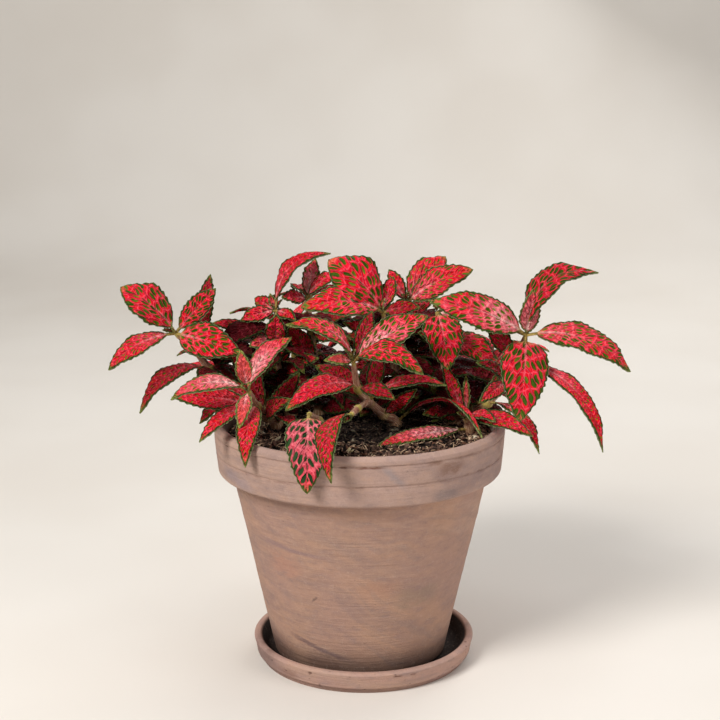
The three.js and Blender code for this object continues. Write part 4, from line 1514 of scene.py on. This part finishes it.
@dataclass
class SoilBed:
    """The potting soil: a crumbly mound with fibres, bark and grit on top."""

    flat_radius: float = 30.0
    gap: float = 0.3
    sides: int = 150
    rings: float = 1.4
    clods: int = 2050
    fibres: int = 1500
    chips: int = 300
    grit: int = 64
    seed: int = 51
    pot: ClayPot = field(default_factory=ClayPot)

    def height_at(self, radius: float) -> float:
        """The mound's height at a distance from the middle."""
        edge = self.pot.inner_radius(SOIL_EDGE) - self.gap
        share = min(1.0, max(0.0, (radius - self.flat_radius) / (edge - self.flat_radius)))
        return SOIL_CENTRE + (SOIL_EDGE - SOIL_CENTRE) * share

    def build_bed(self) -> Piece:
        """Builds the mound itself with a rough surface."""
        floor = SAUCER_FLOOR + WALL + 0.2
        edge = self.pot.inner_radius(SOIL_EDGE) - self.gap
        section = [(AXIS_GAP, floor), (self.pot.inner_radius(floor) - self.gap, floor), (edge, SOIL_EDGE)]
        radius = edge - 1.2
        while radius > 1.0:
            section.append((radius, self.height_at(radius)))
            radius -= self.rings
        section.append((AXIS_GAP, SOIL_CENTRE))
        piece = turned_body("soil_bed", section, self.sides, False)
        points = vertex_array(piece.data)
        for index, (x, y, z) in enumerate(points):
            if z >= (SOIL_EDGE - 0.5) * MM:
                fine = noise.noise(Vector((x * 620, y * 620, 0.3)))
                broad = noise.noise(Vector((x * 150, y * 150, 4.1)))
                inside = 1 - smooth_step(np.array(math.hypot(x, y)), 0.060, 0.0645)
                points[index, 2] = z + (0.0011 * fine + 0.0013 * broad - 0.0006) * inside
        set_vertex_array(piece.data, points)
        return piece

    def scatter(self, kind: Strewn, seed: int) -> Piece:
        """Copies a small master over the soil and joins the copies."""
        draw = random.Random(seed)
        turns, places = [], []
        limit = self.pot.inner_radius(SOIL_EDGE) - 0.6
        for _ in range(kind.count):
            size = [draw.uniform(low, high) for low, high in zip(kind.smallest, kind.largest)]
            reach = (limit - max(size) * 0.5) * math.sqrt(draw.random())
            angle = draw.uniform(0, math.tau)
            turn = Matrix.Rotation(draw.uniform(0, math.tau), 3, "Z")
            for axis in "XY":
                turn = turn @ Matrix.Rotation(math.radians(draw.uniform(-kind.tilt, kind.tilt)), 3, axis)
            height = self.height_at(reach) - kind.sink * size[2] + draw.uniform(0, 0.5)
            turns.append(np.array(turn) * np.array(size))
            places.append(np.array((math.cos(angle) * reach, math.sin(angle) * reach, height)))
        return sow(kind.name, kind.master, turns, places)

    def lump(self, name: str, rough: float, detail: int) -> Piece:
        """Makes one crumb of soil: a ball with dents, one unit across."""
        deselect()
        bpy.ops.mesh.primitive_ico_sphere_add(subdivisions=detail, radius=0.5)
        piece = named(name)
        points = vertex_array(piece.data)
        for index, point in enumerate(points):
            points[index] = point * (1 + rough * noise.noise(Vector(point * 4.0)))
        set_vertex_array(piece.data, points)
        return piece

    def strand(self) -> Piece:
        """Makes one thread of coir: a thin bent rod, one unit long."""
        deselect()
        bpy.ops.mesh.primitive_cylinder_add(vertices=5, radius=0.5, depth=1, rotation=(0, math.pi / 2, 0))
        piece = named("strand_master")
        settle(piece)
        for place in (-0.2, 0.2):
            edit()
            bpy.ops.mesh.bisect(plane_co=(place, 0, 0), plane_no=(1, 0, 0))
        bpy.ops.object.mode_set(mode="OBJECT")
        points = vertex_array(piece.data)
        thin = 1 - 0.55 * np.abs(points[:, 0] * 2) ** 2
        points[:, 1] = points[:, 1] * thin + 3.2 * (0.25 - points[:, 0] ** 2)
        points[:, 2] *= thin
        set_vertex_array(piece.data, points)
        return piece

    def build(self) -> None:
        """Builds the mound and all that is strewn on it, and dresses them."""
        loam = CrumbFinish("soil_loam", (22, 14, 12), (118, 90, 76), 0.0007).make()
        husk = CrumbFinish("soil_husk", (120, 88, 68), (232, 200, 164), 0.0002).make()
        bark = CrumbFinish("soil_bark", (92, 60, 46), (140, 102, 80), 0.0003).make()
        pearl = CrumbFinish("soil_grit", (190, 170, 124), (238, 226, 200), 0.0003).make()
        bed = self.build_bed()
        crumb, strand = self.lump("crumb_master", 0.9, 2), self.strand()
        chip, bead = self.lump("chip_master", 0.7, 1), self.lump("grit_master", 0.6, 1)
        kinds = (
            Strewn("soil_crumbs", crumb, self.clods, (1.0, 0.9, 0.8), (3.2, 2.6, 2.4), 40, -0.05),
            Strewn("soil_fibres", strand, self.fibres, (1.0, 0.34, 0.34), (3.4, 0.7, 0.6), 34, -1.6),
            Strewn("soil_chips", chip, self.chips, (2.0, 1.0, 0.5), (5.0, 2.2, 1.1), 35, -0.6),
            Strewn("soil_grit", bead, self.grit, (1.6, 1.0, 0.8), (4.2, 2.6, 1.7), 50, -0.5),
        )
        made = [bed] + [self.scatter(kind, self.seed + number) for number, kind in enumerate(kinds)]
        for piece, material in zip(made, (loam, loam, husk, bark, pearl)):
            self.dress(piece, material)

    def dress(self, piece: Piece, material: Material) -> None:
        """Gives one piece of the soil its finish."""
        piece.data.materials.append(material)
        focus(piece)
        bpy.ops.object.shade_smooth()
        belong(piece, "soil")


@dataclass
class MasterLeaf:
    """The flat sheet that leaves are copied from: 0 to 1 along, -1 to 1 across, and two layers."""

    rows: int = 60
    columns: int = 14
    points: np.ndarray = field(init=False)
    piece: Piece = field(init=False)

    def build(self) -> None:
        """Adds the sheet, stretches it to its span and thickens it into two layers."""
        deselect()
        bpy.ops.mesh.primitive_grid_add(x_subdivisions=self.rows, y_subdivisions=self.columns, size=2)
        self.piece = named("leaf_master")
        edit()
        bpy.ops.transform.translate(value=(1, 0, 0))
        bpy.ops.transform.resize(value=(0.5, 1, 1), center_override=(0, 0, 0))
        bpy.ops.object.mode_set(mode="OBJECT")
        apply_modifier(self.piece, "SOLIDIFY", thickness=2.0, offset=0.0)
        for face in self.piece.data.polygons:
            face.material_index = 1 if face.normal.z < -0.5 else 0
        self.points = vertex_array(self.piece.data)

    def drop(self) -> None:
        """Takes the master away once all leaves are made."""
        bpy.data.objects.remove(self.piece)


@dataclass
class Leaf:
    """One leaf laid from its stalk to its tip, in millimetres.

    Args:
        plan: the leaf's plan.
        base: where its stalk starts.
        seed: start of the random draws for its waves and teeth.
    """

    plan: LeafPlan
    base: Vector
    seed: int
    blade_thickness: float = 0.5
    blade_fold: float = 0.16
    stalk_half_width: float = 0.78
    stalk_thickness: float = 1.25
    tooth_spacing: float = 3.0
    steep_side: float = 0.28
    pucker_spacing: float = 4.1

    def frame_axes(self) -> tuple[np.ndarray, np.ndarray, np.ndarray, float]:
        """The leaf's own directions along, across and out of its face, and its length."""
        chord = Vector(self.plan.tip) - self.base
        along = chord / chord.length
        normal = Vector(self.plan.face)
        normal = (normal - along * normal.dot(along)).normalized()
        return np.array(along), np.array(along.cross(normal)), np.array(normal), chord.length

    def half_width(self, share: np.ndarray, draw: random.Random) -> np.ndarray:
        """The blade's half width without teeth, by share of the blade's length."""
        width = self.plan.width
        lean = self.plan.lean or (0.74 if width > BROAD_LEAF else 0.92)
        power = 0.72 if width > BROAD_LEAF else 0.8
        outline = np.sin(np.pi * np.clip(share, 0, 1) ** lean) ** power
        sway = 1 + draw.uniform(-0.04, 0.04) * np.sin(np.pi * 2 * share + draw.uniform(0, 6))
        return width / 2 * outline * sway

    def teeth(self, share: np.ndarray, length: float, draw: random.Random) -> np.ndarray:
        """How far each tooth stands out, as a saw that points to the leaf's tip."""
        count = max(7, round(length * 0.9 / self.tooth_spacing))
        heights = np.array([draw.uniform(0.5, 1.15) for _ in range(count + 2)])
        phase = np.clip(share, 0, 1) * count + draw.uniform(0, 1)
        tooth = np.mod(phase, 1.0)
        long_side = 1 - self.steep_side
        saw = np.where(tooth < long_side, tooth / long_side, (1 - tooth) / self.steep_side) - 0.45
        size = 0.45 + 0.026 * self.plan.width
        fade = smooth_step(share, 0.04, 0.22) * (1 - 0.75 * smooth_step(share, 0.82, 1.0))
        return saw * size * heights[np.minimum(phase.astype(int), count + 1)] * fade

    def shape(self, master: np.ndarray) -> tuple[np.ndarray, dict[str, tuple[np.ndarray | float, ...]]]:
        """Lays the master's points along this leaf.

        Args:
            master: the flat sheet's points.

        Returns:
            The points in millimetres, and what the material reads at each of them.
        """
        draw = random.Random(self.seed)
        width = self.plan.width
        along, across, normal, length = self.frame_axes()
        t, v, layer = master[:, 0], master[:, 1], np.sign(master[:, 2])
        base = np.array(self.base)
        middle = base + along * length / 2 + normal * 2 * self.plan.arch * length
        tip = np.array(self.plan.tip)
        turn = t[:, None]
        rib = base * (1 - turn) ** 2 + middle * 2 * turn * (1 - turn) + tip * turn**2
        tangent = (middle - base) * 2 * (1 - turn) + (tip - middle) * 2 * turn
        tangent /= np.linalg.norm(tangent, axis=1)[:, None]
        up = np.cross(across[None, :], tangent)
        up /= np.linalg.norm(up, axis=1)[:, None]
        sideways = np.cross(tangent, up)
        share = np.clip((t - STALK_SHARE) / (1 - STALK_SHARE), 0, 1)
        left, right = random.Random(self.seed + 1), random.Random(self.seed + 2)
        plain = np.where(v < 0, self.half_width(share, left), self.half_width(share, right))
        saw = np.where(v < 0, self.teeth(share, length, left), self.teeth(share, length, right))
        edge = np.maximum(plain + saw * np.abs(v) ** 3, 0.02)
        slim = min(1.0, width / 8)
        stalk = self.stalk_half_width * slim * (1 - smooth_step(share, 0.0, 0.12))
        half = np.where(t > 0.995, 0.03, np.maximum(edge, stalk))
        offset = v * half
        reach = np.abs(offset)
        outer = np.abs(v)
        waves = draw.uniform(1.6, 2.6)
        wave_left, wave_right = draw.uniform(0, 6.3), draw.uniform(0, 6.3)
        phase = np.where(v < 0, wave_left, wave_right)
        body = smooth_step(share, 0.05, 0.3) * (1 - 0.6 * smooth_step(share, 0.8, 1.0))
        lift = reach * self.blade_fold
        lift += 0.07 * width * body * np.sin(np.pi * np.clip(outer * 1.15, 0, 1)) * 0.5
        lift -= 0.05 * width * body * outer**4
        lift += 0.045 * width * np.sin(waves * WAVE * share + phase) * outer**2 * body
        lift += 0.25 * np.sin(11 * share * waves + phase * 2) * outer**6 * body
        puckers = (t * length - (reach + 0.05 * reach**2) * 1.25) / self.pucker_spacing * WAVE
        lift += 0.10 * np.cos(puckers) * body * np.sin(np.pi * np.clip(outer, 0, 1))
        groove = np.exp(-((offset / 0.7) ** 2))
        lift -= 0.22 * groove * body
        lift -= 0.035 * length * smooth_step(share, 0.6, 1.0) ** 2
        thick = self.blade_thickness * (1 - 0.45 * outer)
        thick = thick + np.where(layer < 0, 0.5 * groove * (1 - 0.8 * share), 0)
        round_stalk = np.sqrt(np.clip(1 - outer**2, 0.0, 1)) * self.stalk_thickness * slim
        flat = smooth_step(share, 0.0, 0.1)
        thick = thick * flat + np.maximum(round_stalk, 0.05) * (1 - flat)
        lift = lift * smooth_step(share, 0.0, 0.06)
        points = rib + sideways * offset[:, None] + up * (lift + layer * thick / 2)[:, None]
        mood = self.plan.tone.value
        size = min(1.25, max(0.7, width / 17.5))
        island, pale, deep, young = (
            min(1.0, max(0.0, trait + draw.uniform(-0.09, 0.09)))
            for trait in (mood.island, mood.pale, mood.deep, mood.young)
        )
        stalk_share = share - 0.12 * (1 - smooth_step(t, 0.0, STALK_SHARE))
        return points, {
            "leaf_size": (size, length, mood.rose),
            "leaf_place": (t * length, offset, np.maximum(half - reach, 0)),
            "leaf_mood": (island, pale, deep),
            "leaf_trait": (young, draw.random(), stalk_share),
        }


@dataclass
class LeafyShoot:
    """One stem with its leaves.

    Args:
        name: the shoot's name, as in its node.
        plan: its paths and leaves.
        master: the sheet that the main leaves are copied from.
        small_master: a coarser sheet for the small leaves inside.
        finishes: materials of the leaves' upper side, their under side, the stems and the hairs.
    """

    name: str
    plan: ShootPlan
    master: MasterLeaf
    small_master: MasterLeaf
    finishes: Sequence[Material]
    base_radius: float = 2.7
    tip_radius: float = 1.35
    swell: float = 1.4
    steps: int = 7
    hairs_per_mm: float = 3.5
    hair_width: float = 0.09
    hair_lengths: tuple[float, float] = (0.7, 1.5)

    def smooth_path(self, path: Sequence[Point], start: float) -> list[tuple[Vector, float, float]]:
        """Rounds a path through all of its points.

        Args:
            path: the points from root to tip.
            start: the radius at its first point, in millimetres.

        Returns:
            Each point with its radius and with how near it is to a node of the stem, in millimetres.
        """
        given = [Vector(point) for point in path]
        last = len(given) - 1
        result = []
        for k in range(last):
            before, after = given[max(k - 1, 0)], given[min(k + 2, last)]
            first, second = given[k], given[k + 1]
            for j in range(self.steps + (k == last - 1)):
                u = j / self.steps
                point = 0.5 * (
                    first * 2
                    + (second - before) * u
                    + (before * 2 - first * 5 + second * 4 - after) * u**2
                    + (first * 3 - before - second * 3 + after) * u**3
                )
                share = (k + u) / last
                near = (1 - u if k == 0 else min(u, 1 - u)) * (second - first).length
                radius = start + (self.tip_radius - start) * share
                radius *= 1 + (self.swell - 1) * math.exp(-((near / 1.5) ** 2)) * (k > 0 or u > 0.5)
                radius *= 1 - 0.5 * (k == last - 1) * u**6
                result.append((point, radius, near))
        return result

    def smooth_paths(self) -> list[list[tuple[Vector, float, float]]]:
        """Rounds the stem's path and those of its thinner branches."""
        starts = [self.base_radius] + [self.tip_radius] * (len(self.plan.paths) - 1)
        return [self.smooth_path(path, start) for path, start in zip(self.plan.paths, starts)]

    def build_stem(self) -> Piece:
        """Builds the stem and its branches as round rods with swollen nodes."""
        deselect()
        rows = self.smooth_paths()
        curve = bpy.data.curves.new(f"stem_{self.name}", "CURVE")
        curve.dimensions = "3D"
        curve.bevel_depth = MM
        curve.bevel_resolution = 3
        curve.use_fill_caps = True
        for row in rows:
            spline = curve.splines.new("POLY")
            spline.points.add(len(row) - 1)
            for handle, (point, radius, _) in zip(spline.points, row):
                handle.co = (*(point * MM), 1)
                handle.radius = radius
        focus(linked(f"stem_{self.name}", curve))
        bpy.ops.object.convert(target="MESH")
        piece = bpy.context.object
        points = vertex_array(piece.data) / MM
        centres = np.array([tuple(point) for row in rows for point, _, _ in row])
        nears = np.array([near for row in rows for _, _, near in row])
        runs = []
        for row in rows:
            run = 0.0
            for k, (point, _, _) in enumerate(row):
                run += (point - row[k - 1][0]).length if k else 0.0
                runs.append(run)
        closest = np.linalg.norm(points[:, None, :] - centres[None, :, :], axis=2).argmin(axis=1)
        away = points - centres[closest]
        around = np.arctan2(away[:, 1], away[:, 0])
        write_vector(piece.data, "stem_place", (nears[closest], around, np.array(runs)[closest]))
        piece.data.materials.append(self.finishes[2])
        return piece

    def build_hairs(self) -> Piece:
        """Sets short pale hairs on the stem and its branches."""
        draw = random.Random(len(self.name) * 91 + 5)
        deselect()
        bpy.ops.mesh.primitive_cone_add(vertices=3, radius1=0.5, depth=1, location=(0, 0, 0.5))
        master = named("hair_master")
        settle(master)
        turns, places = [], []
        for row in self.smooth_paths():
            for (first, radius, _), (second, _, _) in zip(row, row[1:]):
                way = second - first
                for _ in range(round(way.length * self.hairs_per_mm)):
                    place = first.lerp(second, draw.random())
                    if place.z < SOIL_CENTRE + 1:
                        continue
                    out = way.orthogonal().normalized()
                    out.rotate(Quaternion(way.normalized(), draw.uniform(0, math.tau)))
                    lean = (out + way.normalized() * draw.uniform(-0.3, 0.5)).normalized()
                    turn = lean.to_track_quat("Z", "X").to_matrix()
                    size = (self.hair_width, self.hair_width, draw.uniform(*self.hair_lengths))
                    turns.append(np.array(turn) * np.array(size))
                    places.append(np.array(place + out * radius * 0.9))
        piece = sow(f"hairs_{self.name}", master, turns, places)
        piece.data.materials.append(self.finishes[3])
        return piece

    def build_leaves(self) -> Piece:
        """Lays every leaf of the shoot and joins them."""
        nodes = [Vector(point) for path in self.plan.paths for point in path]
        rule = Undergrowth()
        laid = [(nodes[plan.node], plan, self.master) for plan in self.plan.leaves]
        small = rule.leaves(self.name, self.plan) + rule.buds(self.name, self.plan)
        laid += [(base, plan, self.small_master) for base, plan in small]
        made = []
        for number, (base, plan, master) in enumerate(laid):
            points, extra = Leaf(plan, base, name_number(self.name) * 131 + number * 17).shape(master.points)
            copy = linked(f"leaf_{self.name}_{number}", master.piece.data.copy())
            set_vertex_array(copy.data, points * MM)
            for key, columns in extra.items():
                write_vector(copy.data, key, columns)
            made.append(copy)
        piece = join(made, f"leaves_{self.name}")
        for finish in self.finishes[:2]:
            piece.data.materials.append(finish)
        return piece

    def build(self) -> None:
        """Builds the shoot's stem, hairs and leaves and dresses them."""
        for piece in (self.build_stem(), self.build_hairs(), self.build_leaves()):
            smooth(piece, PLANT_CREASE)
            belong(piece, f"shoot_{self.name}")


def plant_finishes() -> list[Material]:
    """Makes the materials of the leaves' two sides, of the stems and of their hairs."""
    hair = Coat("plant_hair").finish((212, 182, 162), 0.6, 0.3)
    return [LeafFinish().make(), UndersideFinish().make(), StemFinish().make(), hair]


@dataclass
class Studio:
    """The plain pale floor, the soft lights and the camera at the photograph's angle."""

    focal: float = 70.0
    sensor: float = 36.0
    pitch: float = 78.14
    place: Point = (0.0, -0.6545, 0.2864)
    aim: Point = (0.0, 0.0, 0.12)
    curve: tuple[tuple[float, float], ...] = ((0.05, 0.2), (0.2, 0.15), (0.3, 0.06), (1.4, 0.02))

    def build_floor(self) -> None:
        """Adds a pale floor that curves up into a backdrop."""
        deselect()
        bpy.ops.mesh.primitive_plane_add(size=2.4, location=(0, -0.2, 0))
        floor = named("studio_floor")
        edit("DESELECT")
        bpy.ops.object.mode_set(mode="OBJECT")
        for edge in floor.data.edges:
            edge.select = all(floor.data.vertices[k].co.y > 0.9 for k in edge.vertices)
        bpy.ops.object.mode_set(mode="EDIT")
        bpy.ops.mesh.select_mode(type="EDGE")
        for lift, back in self.curve:
            bpy.ops.mesh.extrude_edges_move(TRANSFORM_OT_translate={"value": (0, back, lift)})
        bpy.ops.object.mode_set(mode="OBJECT")
        settle(floor)
        apply_modifier(floor, "SUBSURF", levels=3, render_levels=3)
        focus(floor)
        bpy.ops.object.shade_smooth()
        sheet = Coat("studio_floor")
        cloud = sheet.place().noise(5.0, 2.0, 0.5)
        colour = sheet.mix(cloud.step(0.3, 0.7), (222, 216, 208), (228, 223, 216))
        floor.data.materials.append(sheet.finish(colour, 0.7, 0.2))

    def add_light(self, name: str, place: Point, size: float, power: float, colour: Point) -> None:
        """Adds one square soft light that looks at the plant.

        Args:
            name: the light's name.
            place: where it hangs, in metres.
            size: the length of its sides, in metres.
            power: its power, in watts.
            colour: its colour, in shares of red, green and blue.
        """
        deselect()
        bpy.ops.object.light_add(type="AREA", location=place)
        light = bpy.context.object
        light.name = name
        light.data.size = size
        light.data.energy = power
        light.data.color = colour
        way = Vector(self.aim) - Vector(place)
        light.rotation_euler = way.to_track_quat("-Z", "Y").to_euler()

    def build_lights(self) -> None:
        """Adds a large soft key from the upper left, a fill from the right, and lights above and behind."""
        self.add_light("key_light", (-0.75, -0.85, 1.05), 0.5, 21.8, (1.0, 0.98, 0.95))
        self.add_light("fill_light", (0.95, -0.6, 0.55), 0.8, 5.6, (0.99, 0.98, 1.0))
        self.add_light("top_light", (0.1, 0.25, 1.2), 0.9, 4.0, (1.0, 1.0, 1.0))
        self.add_light("back_light", (0.5, 1.0, 0.8), 0.8, 5.0, (1.0, 0.99, 0.97))
        world = bpy.context.scene.world or bpy.data.worlds.new("studio_air")
        bpy.context.scene.world = world
        world.use_nodes = True
        sheet = NodeSheet(world.node_tree)
        air = sheet.add("ShaderNodeBackground")
        air.inputs[0].default_value = (1.0, 0.98, 0.96, 1)
        air.inputs[1].default_value = 0.13
        sheet.add("ShaderNodeOutputWorld", Wire(sheet, air.outputs[0]))

    def build_camera(self) -> None:
        """Adds the camera, solved from the pot's rim, band and saucer in the photograph."""
        deselect()
        bpy.ops.object.camera_add(location=self.place, rotation=(math.radians(self.pitch), 0, 0))
        camera = bpy.context.object
        camera.name = "photo_camera"
        camera.data.lens = self.focal
        camera.data.sensor_width = self.sensor
        camera.data.clip_start = 0.01
        bpy.context.scene.camera = camera

    def build(self) -> None:
        """Builds the camera, floor and lights, and sets plain colour handling."""
        self.build_camera()
        self.build_floor()
        self.build_lights()
        bpy.context.scene.view_settings.view_transform = "Standard"


def main() -> None:
    """Builds the studio, the clay, the soil and every shoot, in that order."""
    logging.basicConfig(level=logging.INFO, format="%(name)s: %(message)s")
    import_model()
    Studio().build()
    build_streak_group()
    build_grain_group()
    build_net_group()
    Saucer().build()
    ClayPot().build()
    SoilBed().build()
    masters = MasterLeaf(), MasterLeaf(rows=20, columns=6)
    for sheet in masters:
        sheet.build()
    finishes = plant_finishes()
    for name, plan in all_shoots().items():
        LeafyShoot(name, plan, *masters, finishes).build()
    for sheet in masters:
        sheet.drop()


if __name__ == "__main__":
    main()
